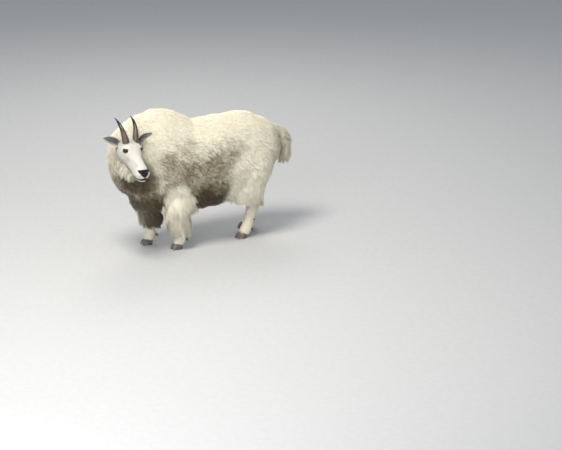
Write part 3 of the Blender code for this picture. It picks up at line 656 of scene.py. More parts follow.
def coat_material(name, face=False):
    """Hair: the coat's markings, with painted shade darkening each tuft towards its root, and streaks along
    each tuft.
    """
    m = Finish(name, 0.62)
    colour, tan_and_shade = markings(m, 1.0 if face else 0.0)
    strand = m.attribute("strand", "Vector")
    _, along, tint = m.split(strand)
    streaks = m.noise(1.0, 3.0, m.node("Mapping", Vector=strand, Scale=(9.0, 1.3, 71.0)))
    fleck = m.times(m.between(tint, 0.55, 0.15, 0.0, 0.55), tan_and_shade)
    # Painted shade: each tuft darker towards its root. The other factors vary the tone by lock, by streak
    # and, in the tan, by fleck.
    shade = m.times(
        m.between(along, 0.0, 0.7, 0.8, 1.0),
        m.between(tint, 0.0, 1.0, 0.9, 1.05),
        m.between(streaks, 0.3, 0.7, 0.92, 1.04),
        m.maths("SUBTRACT", 1.0, fleck),
    )
    shade = m.node("CombineColor", Red=shade, Green=shade, Blue=shade)
    m.bump(streaks, 0.0008, 0.6)
    m.done(Sheen_Weight=0.25, Sheen_Roughness=0.5, Sheen_Tint=(1.0, 0.97, 0.9))
    return m.done(Base_Color=m.mix(1.0, colour, shade, "MULTIPLY"), Specular_IOR_Level=0.25)


def skin_material():
    """Under the tufts: the same markings with a fine lie of hair, darkened where the coat is tan as painted
    shade between the tufts, and dark bare lips and lids.
    """
    m = Finish("skin_hair", 0.8)
    head, bare = m.attribute("on_head"), m.attribute("bare")
    colour, tan_and_shade = markings(m, head)
    hair, rough = m.noise(420.0, 2.0), m.noise(260.0, 4.0)
    body = m.mix(1.0, colour, (0.86, 0.83, 0.78), "MULTIPLY")
    # Painted shade between the tufts: the skin darker where the coat is tan.
    body = m.mix(m.times(tan_and_shade, 0.6), body, (0.12, 0.095, 0.06))
    fur = m.blend(hair, 0.35, 0.7, m.mix(head, body, colour), TAN_OF_WOOL_AND_SHADE, 0.18)
    dark = m.blend(rough, 0.4, 0.7, (0.018, 0.015, 0.014), (0.045, 0.036, 0.032))
    m.bump(m.maths("ADD", hair, rough), 0.0012, 0.5)
    return m.done(Base_Color=m.mix(bare, fur, dark), Roughness=m.between(bare, 0.0, 1.0, 0.8, 0.42))


def horn_material():
    """Brown and streaked at the base, darkening to a polished black tip."""
    m = Finish("horn_sheath", 0.34)
    share, streak = m.attribute("along"), m.noise(1.0, 5.0, m.attribute("streak", "Vector"))
    blur = m.maths("ADD", share, m.times(m.maths("SUBTRACT", streak, 0.5), 0.35))
    brown = m.blend(streak, 0.35, 0.68, (0.038, 0.026, 0.017), (0.15, 0.112, 0.076))
    brown = m.blend(m.noise(30.0, 3.0), 0.45, 0.7, brown, (0.1, 0.085, 0.068), 0.6)
    m.bump(streak, 0.0012, 0.5)
    colour = m.blend(blur, 0.2, 0.62, brown, (0.012, 0.01, 0.009))
    return m.done(Base_Color=colour, Roughness=m.between(share, 0.0, 0.7, 0.5, 0.26))


def hoof_material():
    """Grey-brown horn in fine bands, with pale dust."""
    m = Finish("hoof_horn", 0.5)
    stretch = m.node("Mapping", Vector=m.node("TexCoord", "Object"), Scale=(60, 60, 420))
    bands, dust = m.noise(1.0, 4.0, stretch), m.noise(40.0, 5.0)
    colour = m.blend(bands, 0.4, 0.65, (0.06, 0.053, 0.044), (0.15, 0.132, 0.108))
    colour = m.blend(dust, 0.42, 0.7, colour, (0.34, 0.295, 0.225), 0.7)
    m.bump(bands, 0.001, 0.6)
    return m.done(Base_Color=colour, Roughness=m.between(dust, 0.4, 0.7, 0.42, 0.75))


def eye_material():
    """Nearly black, with a dark amber iris and a level slit for a pupil."""
    m = Finish("eye_wet", 0.06)
    u, v, edge = m.split(m.attribute("look", "Vector"))
    u, v = (m.maths("ABSOLUTE", m.maths("DIVIDE", way, half)) for way, half in ((u, 0.0068), (v, 0.0027)))
    slit = m.maths("ADD", m.maths("POWER", u, 3.0), m.maths("POWER", v, 2.0))
    iris = m.blend(m.noise(900.0, 3.0), 0.35, 0.65, (0.01, 0.006, 0.004), (0.03, 0.016, 0.007))
    iris = m.blend(edge, 0.009, 0.0125, iris, (0.01, 0.007, 0.006))
    m.done(Specular_IOR_Level=0.35, Coat_Weight=0.3, Coat_Roughness=0.03)
    return m.done(Base_Color=m.blend(slit, 0.8, 1.2, (0.003, 0.003, 0.003), iris))


def nose_material():
    """Bare black skin with a fine pebbled grain, a little moist."""
    m = Finish("nose_skin", 0.38)
    cells = m.node("TexVoronoi", "Distance", Vector=m.node("TexCoord", "Object"), Scale=520.0)
    mottle = m.noise(90.0, 4.0)
    m.bump(cells, 0.0007, 0.7)
    m.done(Specular_IOR_Level=0.3, Roughness=m.between(mottle, 0.35, 0.7, 0.34, 0.6))
    return m.done(Base_Color=m.blend(mottle, 0.4, 0.7, (0.006, 0.006, 0.006), (0.024, 0.02, 0.019)))


def ear_material():
    """Short white hair outside; in the cup, sparsely haired skin made dark, part the skin's own colour and
    part painted shade.
    """
    m = Finish("ear_skin", 0.72)
    hair = m.noise(380.0, 3.0)
    # The cup: part the skin's own dark and part painted shade.
    dark = m.blend(hair, 0.35, 0.7, (0.07, 0.056, 0.044), (0.13, 0.108, 0.086))
    pale = m.blend(hair, 0.3, 0.7, (0.6, 0.56, 0.48), FACE_WHITE)
    m.bump(hair, 0.001, 0.5)
    return m.done(Base_Color=m.mix(m.attribute("cup"), pale, dark))


def floor_material():
    m = Finish("studio_floor", 0.9)
    return m.done(Base_Color=m.blend(m.noise(22.0, 5.0), 0.3, 0.7, (0.49, 0.487, 0.48), (0.51, 0.507, 0.5)))


def dressed(thing, finish, slot, *nodes):
    """Gives a finished piece its material and its body, and hides the parts of the model that it stands for.
    The slot is not used.
    """
    thing.data.materials.clear()
    thing.data.materials.append(finish)
    thing.data.transform(Matrix.Translation(STAND))
    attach(thing, "root")
    if nodes:
        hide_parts(*nodes)
    return thing


def point_values(thing, name, values):
    """Gives each vertex a number, or a vector, that the finishes read."""
    kind, field = ("FLOAT", "value") if values.ndim == 1 else ("FLOAT_VECTOR", "vector")
    layer = thing.data.attributes.new(name, kind, "POINT")
    layer.data.foreach_set(field, values.astype(np.float32).ravel())


def vertices_of(thing, kind="co"):
    flat = np.empty(len(thing.data.vertices) * 3, np.float32)
    thing.data.vertices.foreach_get(kind, flat)
    return flat.reshape(-1, 3).astype(float)


# Horns, hooves, eyes, ears and nose


def horn(side, finish):
    """A slim horn that rises and sweeps back, ringed at its base and smooth at its tip."""
    turn, start = math.radians(75), math.radians(53)
    radius = HORN_LENGTH / turn
    share = np.linspace(0, 1, 16)
    angle = start - turn * share
    back = radius * (math.sin(start) - np.sin(angle))
    up = radius * (np.cos(angle) - math.cos(start)) - 0.01
    out = side * (0.036 + 0.026 * np.sin(share * math.pi / 2))
    girth = HORN_RADIUS * (1 - share) ** 0.75 * (1 - 0.1 * share) + 0.0008
    tube = Tube(np.stack([out, back, up, girth, girth * 1.12, girth * 1.12], axis=1), (0, 0.3, 1))
    rings, sides = 150, 44
    shares = np.linspace(0, 1, rings)
    points = tube.grid(shares, circle(sides))
    at, about = pairs(shares, circle(sides))
    normals = surface_normals(tube, np.clip(at, 0.01, 0.99), about)
    steps = at * 52 + 2.2 * at**2 + 0.5 * np.sin(about + at * 9)
    ridge = (0.5 + 0.5 * np.sin(steps * 2.2)) ** 3 * np.exp(-at * 3.4)
    ridge = ridge * (0.7 + 0.3 * np.sin(about * 2 + at * 20))
    points[:-2] += normals * (0.0015 * ridge - 0.0006)[:, None] * np.minimum(1, (1 - at) * 6)[:, None]
    name = "horn_" + SIDES[side]
    made = solid(name + "_sheath", from_head(points), tube_faces(rings, sides))
    point_values(made, "along", np.concatenate([at, [0, 1]]))
    streak = np.stack([np.cos(about) * 3, np.sin(about) * 3, at * 5 + side], axis=1)
    point_values(made, "streak", np.concatenate([streak, [[0, 0, 0], [0, 0, 5]]]))
    return dressed(made, finish, "horn", name)


def claw(name, x, toward, y, finish):
    """One half of a cloven hoof: pointed in front, round behind, ringed by growth."""
    sides, length, width = 48, 0.04, 0.0165
    middle = x + 0.019 * toward
    angle = circle(sides)
    toe = np.maximum(0, -np.sin(angle))
    rings = []
    for share in np.linspace(0, 1, 22):
        height = HOOF_HEIGHT * share
        size = np.interp(height, (0, 0.0015, 0.012, 0.03, HOOF_HEIGHT), (0.97, 1.0, 1.0, 0.9, 0.7))
        size *= 1 + 0.012 * math.sin(share * 26) * (0.2 < share < 0.95)
        back = np.interp(height, (0, 0.012, 0.03, HOOF_HEIGHT), (0, 0.001, 0.006, 0.012))
        aside = width * size * np.cos(angle) * (1 - 0.3 * toe)
        ahead = length * size * np.sin(angle) * np.where(toe > 0, 1.1, 0.85)
        rings.append(np.stack([middle + aside, y - 0.035 + back + ahead, np.full(sides, height)], axis=1))
    points = np.concatenate([*rings, [rings[0].mean(axis=0), rings[-1].mean(axis=0)]])
    made = solid(name + "_horn", points, tube_faces(len(rings), sides))
    made.data.set_sharp_from_angle(angle=math.radians(40))
    return dressed(made, finish, "hoof", name)


def dewclaw(name, x, toward, y, finish):
    """A small blunt cone behind the pastern."""
    x = x + 0.018 * toward
    places = ((0.02, 0.076, 0.008), (0.036, 0.066, 0.008), (0.044, 0.057, 0.006), (0.047, 0.052, 0.002))
    rows = [Row(x, y + back, up, half, half, half) for back, up, half in places]
    return dressed(tube_solid(name + "_horn", Tube(rows, UP), 14, 20), finish, "hoof", name)


def eyeball(side, finish):
    """An eyeball with a clear swelling in front of the iris."""
    rings, sides = 49, 64
    out, lengthwise, upright = eye_axes(side)
    middle = eye_middle(side)
    tilt, turn = pairs(np.linspace(0.02, math.pi - 0.02, rings), circle(sides))
    across = lengthwise * np.cos(turn)[:, None] + upright * np.sin(turn)[:, None]
    ways = out * np.cos(tilt)[:, None] + across * np.sin(tilt)[:, None]
    places = middle + ways * (EYE_RADIUS - 0.0006 + 0.0009 * ramp(0.75, 0.3, tilt))[:, None]
    ends = np.array([middle + out * (EYE_RADIUS + 0.0003), middle - out * (EYE_RADIUS - 0.0006)])
    points = np.concatenate([places, ends])
    name = "eye_" + SIDES[side]
    made = solid(name + "_ball", from_head(points), tube_faces(rings, sides))
    u, v = (points - middle) @ lengthwise, (points - middle) @ upright
    facing = np.where((points - middle) @ out > 0, np.hypot(u, v), 0.02)
    point_values(made, "look", np.stack([u, v, facing], axis=1))
    return dressed(made, finish, "eye", name)


def ear_surface(side, t, s, lift):
    """A point of the ear: t from root to tip, s across it from -1 to 1, lift out from the cup."""
    root = np.array((side * 0.07, 0.006, -0.04))
    reach = np.array(EAR_REACH[side])
    along = unit(reach)
    face = unit(np.array((0, -1, 0.25)) - along * np.dot(along, (0, -1, 0.25)))
    across = np.cross(along, face)
    half = 0.006 + 0.024 * np.sin(math.pi * np.minimum(1.0, 0.16 + 0.84 * t)) ** 0.8
    curl = np.radians(150 - 90 * t)
    bow = -0.012 * np.sin(math.pi * t)
    radius = half / np.sin(curl / 2)
    angle = s * curl / 2
    out = across * np.sin(angle)[:, None] - face * (np.cos(angle) - np.cos(curl / 2))[:, None]
    middle = root + along * (EAR_LENGTH * t)[:, None] + face * bow[:, None]
    middle += np.array(UP) * (0.004 * np.sin(math.pi * t))[:, None]
    return middle + out * (radius + lift)[:, None] - face * (lift * 0.2)[:, None], out, along


def ear(side, finish):
    """A cupped leaf with a thin rim, dark inside."""
    rows, columns = 44, 30
    t, s = pairs(np.linspace(0, 1, rows), np.linspace(-1, 1, columns))
    rim = np.sqrt(np.maximum(0, 1 - np.maximum(np.abs(s), ramp(0.9, 1.0, t)) ** 6))
    inner, _, _ = ear_surface(side, t, s, 0.0006 - 0.0006 * rim)
    outer, _, _ = ear_surface(side, t, s, 0.0007 + EAR_THICK * rim)
    count = rows * columns
    r, c = pairs(np.arange(rows - 1), np.arange(columns - 1))
    a = r * columns + c
    faces = np.stack([a, a + 1, a + 1 + columns, a + columns], axis=1).tolist()
    b = a + count
    faces += np.stack([b, b + columns, b + 1 + columns, b + 1], axis=1).tolist()
    edge = [k * columns for k in range(rows)] + list(range((rows - 1) * columns + 1, count))
    edge += [k * columns + columns - 1 for k in range(rows - 2, -1, -1)] + list(range(columns - 2, 0, -1))
    faces += [(q, p, count + p, count + q) for p, q in zip(edge, edge[1:] + edge[:1])]
    name = "ear_" + SIDES[side]
    made = solid(name + "_leaf", from_head(np.concatenate([inner, outer])), faces)
    inside = ramp(1.0, 0.8, np.abs(s)) * ramp(1.0, 0.93, t) * ramp(-0.05, 0.1, t)
    point_values(made, "cup", np.concatenate([inside, np.zeros(count)]))
    return dressed(made, finish, "face", name)


def nose_pad(skin_tree, finish):
    """The bare pad: wide over the nostrils, narrowing to the parting of the upper lip."""
    rings, sides = 60, 120
    share, turn = pairs(np.linspace(0, 1, rings), circle(sides))
    c, s = np.cos(turn), np.sin(turn)
    wide, tall = pad_half(s)
    yaw, pitch = share * c * wide, PAD_PITCH + share * s * tall
    way = np.stack([np.sin(yaw) * np.cos(pitch), -np.cos(yaw) * np.cos(pitch), np.sin(pitch)], axis=1)
    hits = [skin_tree.ray_cast(Vector(MUZZLE_AT + start * 0.15), Vector(-start))[0] for start in way]
    base = np.array([hit or Vector(MUZZLE_AT + start * 0.055) for hit, start in zip(hits, way)])
    crown = 0.0028 * (1 - share**4) - 0.0016 * ramp(0.86, 1.0, share)
    sideways, slant = np.abs(yaw) - np.radians(38), pitch - PAD_PITCH - np.radians(2)
    slot_long = sideways * 0.8 + slant * 0.6
    slot_wide = -sideways * 0.6 + slant * 0.8 + 1.6 * slot_long**2
    slot = (slot_long / np.radians(15)) ** 2 + (slot_wide / np.radians(6.0)) ** 2
    crown = crown + 0.0016 * bell(slot - 2.2) - 0.0125 * ramp(1.15, 0.35, slot)
    crown -= 0.0014 * bell(yaw / np.radians(2.2)) * ramp(0.35, 0.05, pitch - PAD_PITCH + 0.2)
    front, back = base + way * crown[:, None], base - way * 0.014
    faces = tube_faces(rings, sides)[: (rings - 1) * sides]
    layer, edge = rings * sides, (rings - 1) * sides
    faces += [[a + layer for a in reversed(face)] for face in faces]
    after = [(j, (j + 1) % sides) for j in range(sides)]
    faces += [(edge + j, edge + k, edge + k + layer, edge + j + layer) for j, k in after]
    faces += [(k, j, 2 * layer) for j, k in after]
    faces += [(layer + j, layer + k, 2 * layer + 1) for j, k in after]
    points = np.concatenate([front, back, [front[0], back[0]]])
    made = solid("nose_pad", from_head(points), faces)
    merge = bmesh.new()
    merge.from_mesh(made.data)
    bmesh.ops.remove_doubles(merge, verts=merge.verts, dist=1e-6)
    bmesh.ops.dissolve_degenerate(merge, dist=1e-7, edges=merge.edges)
    merge.to_mesh(made.data)
    merge.free()
    return dressed(made, finish, "nose", "nose")


# The coat

# length, half width, lift at the root and at the tip in degrees, sway of the lie in degrees,
# share gathered into locks, spacing of locks, tufts a square centimetre
HAIR = {
    "back": (0.031, 0.0014, 30, 8, 9, 0.25, 0.01, 4.2),
    "flank": (0.035, 0.0016, 32, 8, 24, 0.5, 0.016, 3.6),
    "neck": (0.034, 0.0015, 32, 9, 12, 0.35, 0.014, 4.0),
    "chest": (0.046, 0.0021, 26, 4, 18, 0.6, 0.026, 3.0),
    "belly": (0.042, 0.0022, 40, 14, 18, 0.55, 0.024, 2.2),
    "thigh": (0.05, 0.0019, 30, 7, 20, 0.52, 0.02, 3.5),
    "chaps": (0.084, 0.0023, 34, 6, 18, 0.55, 0.022, 4.0),
    "tail": (0.06, 0.0021, 52, 24, 14, 0.5, 0.02, 4.6),
    "shank": (0.014, 0.0011, 28, 7, 10, 0.25, 0.008, 6.5),
    "face": (0.0095, 0.0008, 24, 6, 10, 0.2, 0.005, 11.5),
    "jaw": (0.034, 0.0014, 34, 14, 18, 0.45, 0.012, 7.0),
    "poll": (0.018, 0.0013, 42, 22, 30, 0.55, 0.01, 7.0),
}
REGIONS = list(HAIR)
TABLE = np.array(list(HAIR.values()))
PATCH = 0.003  # how wide a tuft's patch is on the unwrap
ATLAS = 2.2  # metres of skin across the whole unwrap
ROOT_DEPTH = 0.002  # how far under the skin a tuft starts
LOWEST_TIP = 0.006  # the height above the floor that no tuft goes below
PIECE_TRIANGLES = 190000  # the most in one piece of the coat
FEWEST_TUFTS = 20  # the fewest in one piece of the coat


def leg_share(points, name):
    """How much each point belongs to one leg's own column below the trunk."""
    upper, shank, _ = FEET[name][2]
    rows = leg_rows(upper, name) + leg_rows(shank, name)[1:]
    table = np.array(sorted(rows, key=lambda row: row.z))
    z = points[:, 2]
    x, y, across, ahead, behind = (np.interp(z, table[:, 2], table[:, k]) for k in (0, 1, 3, 4, 5))
    toward = points[:, 1] - y
    size = ((points[:, 0] - x) / across) ** 2 + (toward / np.where(toward < 0, ahead, behind)) ** 2
    return ramp(1.7, 1.1, size)


def pair_share(points, pair):
    """The same for the two forelegs, or the two hind legs."""
    return np.max([leg_share(points, name) for name in FEET if name.startswith(pair)], axis=0)


def regions(points, normals, on_head):
    """How much of each region's hair grows at each point."""
    _, y, z = points.T
    fore, hind = pair_share(points, "fore"), pair_share(points, "hind")
    low_fore, low_hind = ramp(0.5, 0.36, z) * fore, ramp(0.46, 0.36, z) * hind
    shank = np.maximum(ramp(0.15, 0.128, z) * fore, ramp(0.25, 0.205, z) * hind)
    left = np.ones(len(points)) * (1 - on_head)
    weight = {}
    for name, share in (
        ("shank", np.maximum(shank, ramp(0.13, 0.11, z))),
        ("tail", np.maximum(ramp(0.835, 0.87, y) * ramp(0.79, 0.74, z), ramp(0.865, 0.885, y))),
        ("chaps", np.maximum(low_fore, low_hind)),
        ("thigh", ramp(0.36, 0.48, y) * ramp(0.72, 0.52, z) * (1 - low_hind)),
        ("belly", ramp(-0.35, -0.75, normals[:, 2]) * ramp(0.5, 0.4, z)),
        ("chest", ramp(-0.28, -0.38, y) * ramp(0.66, 0.5, z)),
        ("neck", ramp(-0.16, -0.3, y)),
        ("flank", ramp(0.35, 0.75, np.abs(normals[:, 0])) * ramp(0.86, 0.7, z)),
        ("back", 1),
    ):
        weight[name] = left * share
        left = left * (1 - share)
    _, y, z = to_head(points).T
    jaw = ramp(-0.085, -0.125, z) * ramp(-0.2, -0.13, y) * on_head
    jaw = np.maximum(jaw, on_head * ramp(-0.02, 0.03, y))
    poll = on_head * ramp(-0.045, 0.0, y) * ramp(-0.045, -0.015, z) * (1 - jaw)
    weight.update(jaw=jaw, poll=poll, face=on_head * (1 - jaw) * (1 - poll))
    return np.stack([weight[name] for name in REGIONS], axis=1)


def tones(points, normals, mix, on_head):
    """How tan, how brown and how grey the hair is at each point: the tan is part the wool's own and part
    painted shade, the brown part stain and part painted shade, and the grey is painted shade.
    """
    x, y, z = points.T
    share = dict(zip(REGIONS, mix.T))
    chaps = share["chaps"]
    height = z + 0.03 * waves(points, 0.22, 21) + 0.012 * waves(points, 0.06, 22)
    fore, hind = pair_share(points, "fore"), pair_share(points, "hind")
    hind = np.maximum(hind, pair_share(points + (0, 0.05, 0), "hind"))
    column = np.maximum(fore * ramp(0.62, 0.52, height), hind * ramp(0.68, 0.58, height))
    leg = np.clip(chaps + share["shank"], 0, 1)
    trunk = (1 - leg) * (1 - share["thigh"]) * (1 - share["tail"]) * (1 - column)
    edge = 0.33 + 0.225 * ramp(0.55, 0.85, z)
    # Tan: on the mid-flank part the wool's tan and part painted shade; on the chest and neck front under the
    # head and on the rump's rear and the tail, painted shade; a light tan over the forequarters; low on the
    # pantaloons, a stain.
    tan_and_shade = np.max([
        ramp(0.83, 0.64, height) * ramp(-0.32, -0.1, y) * ramp(edge + 0.07, edge - 0.07, y) * trunk,
        0.95 * ramp(-0.12, -0.26, y) * ramp(0.72, 0.54, height) * trunk,
        0.3 * ramp(0.1, -0.25, y) * ramp(0.95, 0.66, height) * trunk,
        0.38 * ramp(0.46, 0.2, z) * chaps,
        0.3 * ramp(0.7, 0.8, y) * ramp(0.87, 0.77, height),
    ], axis=0)
    inner = ramp(0.05, 0.55, -normals[:, 0] * np.sign(x)) * ramp(0.12, 0.22, z)
    local = to_head(points)
    under_chin = ramp(0.2, 0.1, lengths(local - (0.05, -0.17, -0.26)))
    # Brown, part stain and part painted shade: the belly, the low chest and the throat under the chin. On the
    # inner sides of the pantaloons and on the far foreleg's pantaloons under the chest, painted shade.
    brown = np.max([
        ramp(0.52, 0.38, height) * trunk * ramp(-0.34, -0.22, y) * ramp(0.38, 0.28, y),
        0.85 * ramp(-0.14, -0.24, y) * ramp(0.54, 0.4, height) * trunk,
        np.where(y < 0.2, 0.95, 0.75) * inner * chaps,
        0.65 * chaps * ramp(0.2, 0.32, z) * (x < 0) * (y < 0.2),
        0.9 * under_chin * (1 - on_head),
    ], axis=0)
    ahead, side, up = -local[:, 1], np.abs(local[:, 0]), local[:, 2]

    def patch(at, aside, level, along, across, deep):
        flat = -(((ahead - at) / along) ** 2) - ((side - aside) / across) ** 2
        return np.exp(flat - ((up - level) / deep) ** 2)

    grain = 0.75 + 0.35 * waves(points, 0.02, 23)
    face_tan = np.max([
        0.38 * (ramp(-0.075, -0.125, up) * ramp(0.255, 0.2, ahead)),
        0.75 * patch(0.018, 0.0, 0.006, 0.02, 0.024, 0.03),
        0.3 * patch(0.06, 0.03, 0.0, 0.05, 0.03, 0.04),
    ], axis=0) * grain
    # Brown along the underside of the jaw, part hair colour and part painted shade.
    face_brown = 0.45 * ramp(-0.13, -0.155, up) * ramp(0.25, 0.2, ahead)
    # Painted grey shade: in the creases beside the nose, along the tear line under the eye, and at the sides
    # of the head below the horns.
    creases = patch(0.195, 0.036, -0.02, 0.018, 0.01, 0.012)
    creases = creases + 0.7 * patch(0.165, 0.046, -0.03, 0.012, 0.01, 0.01)
    grey_painted_shade = 0.6 * patch(0.125, 0.058, -0.05, 0.034, 0.01, 0.013) + 0.55 * creases * grain
    grey_painted_shade = grey_painted_shade + 0.3 * patch(0.01, 0.045, -0.01, 0.02, 0.012, 0.02)
    tone = [np.where(on_head > 0.5, *both) for both in ((face_tan, tan_and_shade), (face_brown, brown), (grey_painted_shade, 0.0))]
    return np.clip(np.stack(tone, axis=1), 0, 1)


def lie_of(points, normals, mix, on_head):
    """The way the hair lies at each point, along the skin."""
    share = dict(zip(REGIONS, mix.T[:, :, None]))
    side = np.clip(np.abs(normals[:, :1]) * 1.2, 0, 1)
    way = np.concatenate([np.zeros_like(side), 1.0 - 0.25 * side, -0.12 - 0.62 * side], axis=1)
    hanging = share["chaps"] + share["chest"] * 0.9 + share["tail"] + share["shank"]
    for much, tilt, down in ((hanging, 0.22, -1), (share["thigh"], 0.3, -1), (share["belly"], 0.9, -0.3)):
        way = way * (1 - much) + np.array((0, tilt, down)) * much
    local = to_head(points)
    back = np.stack([local[:, 0] * 5, np.ones(len(local)), local[:, 2] * 2.0 + 0.12], axis=1)
    for eye in SIDES:
        away = local - eye_middle(eye)
        reach = lengths(away)[:, None]
        back = back + unit(away) * 1.5 * bell(reach / 0.03)
    below = ramp(-0.085, -0.12, local[:, 2])[:, None]
    back = head_way(unit(back)) * (1 - below * 0.6) + np.array((0, 0, -1)) * below * 0.6
    way = np.where(on_head[:, None] > 0.5, back, way)
    flat = unit(way - normals * dot(way, normals))
    sway = np.radians(mix @ TABLE[:, 4])
    turn = (waves(points, 0.16, 1) * 0.55 + waves(points, 0.065, 2) * 0.75) * sway
    return flat * np.cos(turn)[:, None] + np.cross(normals, flat) * np.sin(turn)[:, None]


def unwrap(points, on_head):
    """The skin laid flat: each limb, the head and the body opened along a line, side by side."""
    x, y, z = points.T
    local = to_head(points)

    def turned(a, b):
        return np.arctan2(a, b) / math.tau + 0.5

    parts = []
    for k, (name, (side, foot, _)) in enumerate(FEET.items()):
        back = foot + LEAN[name] * np.maximum(0, z - 0.1)
        here = leg_share(points, name) * (z < 0.5) > 0.5
        parts.append((here, 0.01 + 0.19 * (k + turned(x - side * STANCE, y - back)), 0.72 + z / ATLAS))
    turn = turned(local[:, 0], local[:, 2] + 0.08)
    parts.append((on_head > 0.5, 0.83 + 0.16 * turn, 0.1 + (0.3 - local[:, 1]) / ATLAS))
    u, v = 0.01 + 0.8 * turned(x, z - 0.62 + 0.1 * ramp(0.0, 0.6, y)), 0.01 + (y + 0.55) / ATLAS
    for here, across, up in parts:
        u, v = np.where(here, across, u), np.where(here, up, v)
    return np.stack([u, v], axis=1)


def scattered(skin, density, chance):
    """Roots spread evenly over the skin, by a density for each vertex in tufts a square metre."""
    mesh = skin.data
    mesh.calc_loop_triangles()
    corners = np.empty(len(mesh.loop_triangles) * 3, np.int32)
    mesh.loop_triangles.foreach_get("vertices", corners)
    corners = corners.reshape(-1, 3)
    places, normals = vertices_of(skin), vertices_of(skin, "normal")
    a, b, c = (places[corners[:, k]] for k in range(3))
    area = lengths(np.cross(b - a, c - a)) / 2
    total = np.cumsum(area * density[corners].mean(axis=1))
    count = int(total[-1])
    picks = (np.arange(count) + chance.uniform(0, 1, count)) * total[-1] / count
    corners = corners[np.minimum(np.searchsorted(total, picks), len(total) - 1)]
    first, second = np.sqrt(chance.uniform(0, 1, count)), chance.uniform(0, 1, count)
    share = np.stack([1 - first, first * (1 - second), first * second], axis=1)
    roots, out = ((values[corners] * share[:, :, None]).sum(axis=1) for values in (places, normals))
    return roots, unit(out), corners, share


def gathered(roots, controls, gather, spacing, chance):
    """Pulls each tuft's outer half towards the leader of its lock."""
    seeds = np.flatnonzero(chance.uniform(0, 1, len(roots)) < spacing)
    tree = KDTree(len(seeds))
    for k, seed in enumerate(seeds):
        tree.insert(roots[seed], k)
    tree.balance()
    leader = seeds[[tree.find(root)[1] for root in roots]]
    p0, p1, p2, p3 = controls
    size = chance.uniform(0.82, 1.18, len(roots))[leader][:, None]
    p2 = p2 + (p2[leader] - p2) * gather[:, None] * 0.55
    p3 = p3 + (p3[leader] - p3) * gather[:, None]
    return (p0, p1, p0 + (p2 - p0) * size, p0 + (p3 - p0) * size), leader


def tufts(name, roots, normals, controls, width, rings, uv, tint, tone, finish, slot, soft=True):
    """Closed, three-sided, tapered tufts along cubic curves, all in one mesh."""
    p0, p1, p2, p3 = controls
    count = len(roots)
    across = unit(np.cross(p3 - p0, normals))
    spots, facings, undersides, marks = [], [], [], []
    for t in np.linspace(0, 0.86 if rings > 2 else 0.62, rings):
        middle = p0 * (1 - t) ** 3 + 3 * p1 * t * (1 - t) ** 2 + 3 * p2 * t * t * (1 - t) + p3 * t**3
        along = (p1 - p0) * (1 - t) ** 2 + 2 * (p2 - p1) * t * (1 - t) + (p3 - p2) * t * t
        up = unit(np.cross(across, along))
        half = (width * (1 - t**2.2))[:, None]
        for step in (-1, 0, 1):
            spots.append(middle + across * half * step + up * half * (0.55 if step == 0 else 0))
            facings.append(unit(normals * 1.6 + up + across * step * 0.7))
            undersides.append(unit(normals * 0.3 - up + across * step * 0.5))
            marks.append((step * 0.5, t))
    spots.append(p3)
    facings.append(unit(normals * 1.6 + up))
    undersides.append(unit(normals * 0.3 - up))
    marks.append((0.0, 1.0))
    points, size = np.stack(spots, axis=1).reshape(-1, 3), len(spots)
    faces = [(0, 2, 1)]
    for a in range((rings - 1) * 3):
        b = a + 1 if a % 3 < 2 else a - 2
        faces += [(a, b, b + 3), (a, b + 3, a + 3)]
    last = (rings - 1) * 3
    faces += [(last + k, last + (k + 1) % 3, size - 1) for k in range(3)]
    below = np.repeat([0] + [0, 0, 0, 0, 1, 1] * (rings - 1) + [0, 0, 1], 3) > 0
    corners = (np.array(faces)[None] + (np.arange(count) * size)[:, None, None]).reshape(-1)
    mesh = bpy.data.meshes.new(name)
    mesh.vertices.add(len(points))
    mesh.vertices.foreach_set("co", points.astype(np.float32).ravel())
    mesh.loops.add(len(corners))
    mesh.loops.foreach_set("vertex_index", corners.astype(np.int32))
    mesh.polygons.add(len(corners) // 3)
    mesh.polygons.foreach_set("loop_start", np.arange(0, len(corners), 3, dtype=np.int32))
    mesh.polygons.foreach_set("use_smooth", np.ones(len(corners) // 3, bool))
    mesh.update(calc_edges=True)
    if soft:
        upper, lower = (np.stack(ways, axis=1).reshape(-1, 3)[corners] for ways in (facings, undersides))
        mesh.normals_split_custom_set(np.where(np.tile(below, count)[:, None], lower, upper))
    marks = np.array(marks)
    spread = uv[:, None] + (marks[:, ::-1] - (0.5, 0.0))[None] * PATCH
    layer = mesh.uv_layers.new(name="OFBake")
    layer.data.foreach_set("uv", spread.reshape(-1, 2)[corners].astype(np.float32).ravel())
    made = placed(name, mesh)
    strand = np.column_stack([np.tile(marks, (count, 1)), np.repeat(tint, size)])
    point_values(made, "strand", strand)
    point_values(made, "tone", np.repeat(tone, size, axis=0))
    return dressed(made, finish, slot)


def near_features(points):
    """Shorter hair close to the eyes and on the muzzle."""
    local = to_head(points)
    away = np.min([lengths(local - eye_middle(side)) for side in SIDES], axis=0)
    front = ramp(-0.17, -0.25, local[:, 1])
    return (0.35 + 0.65 * ramp(0.021, 0.046, away)) * (1 - 0.35 * front)


def above_hem(points, mix):
    """How long a tuft of the pantaloons may be for its tip to end at their hem."""
    x, y, z = points.T
    hem = np.where(y < 0.25, np.where(x > 0, 0.128, 0.172), 0.245 + 0.05 * ramp(0.08, -0.08, y - 0.6))
    room = 0.03 + np.maximum(z - hem, 0)
    return np.where(mix[:, REGIONS.index("chaps")] > 0.3, room, 1.0)


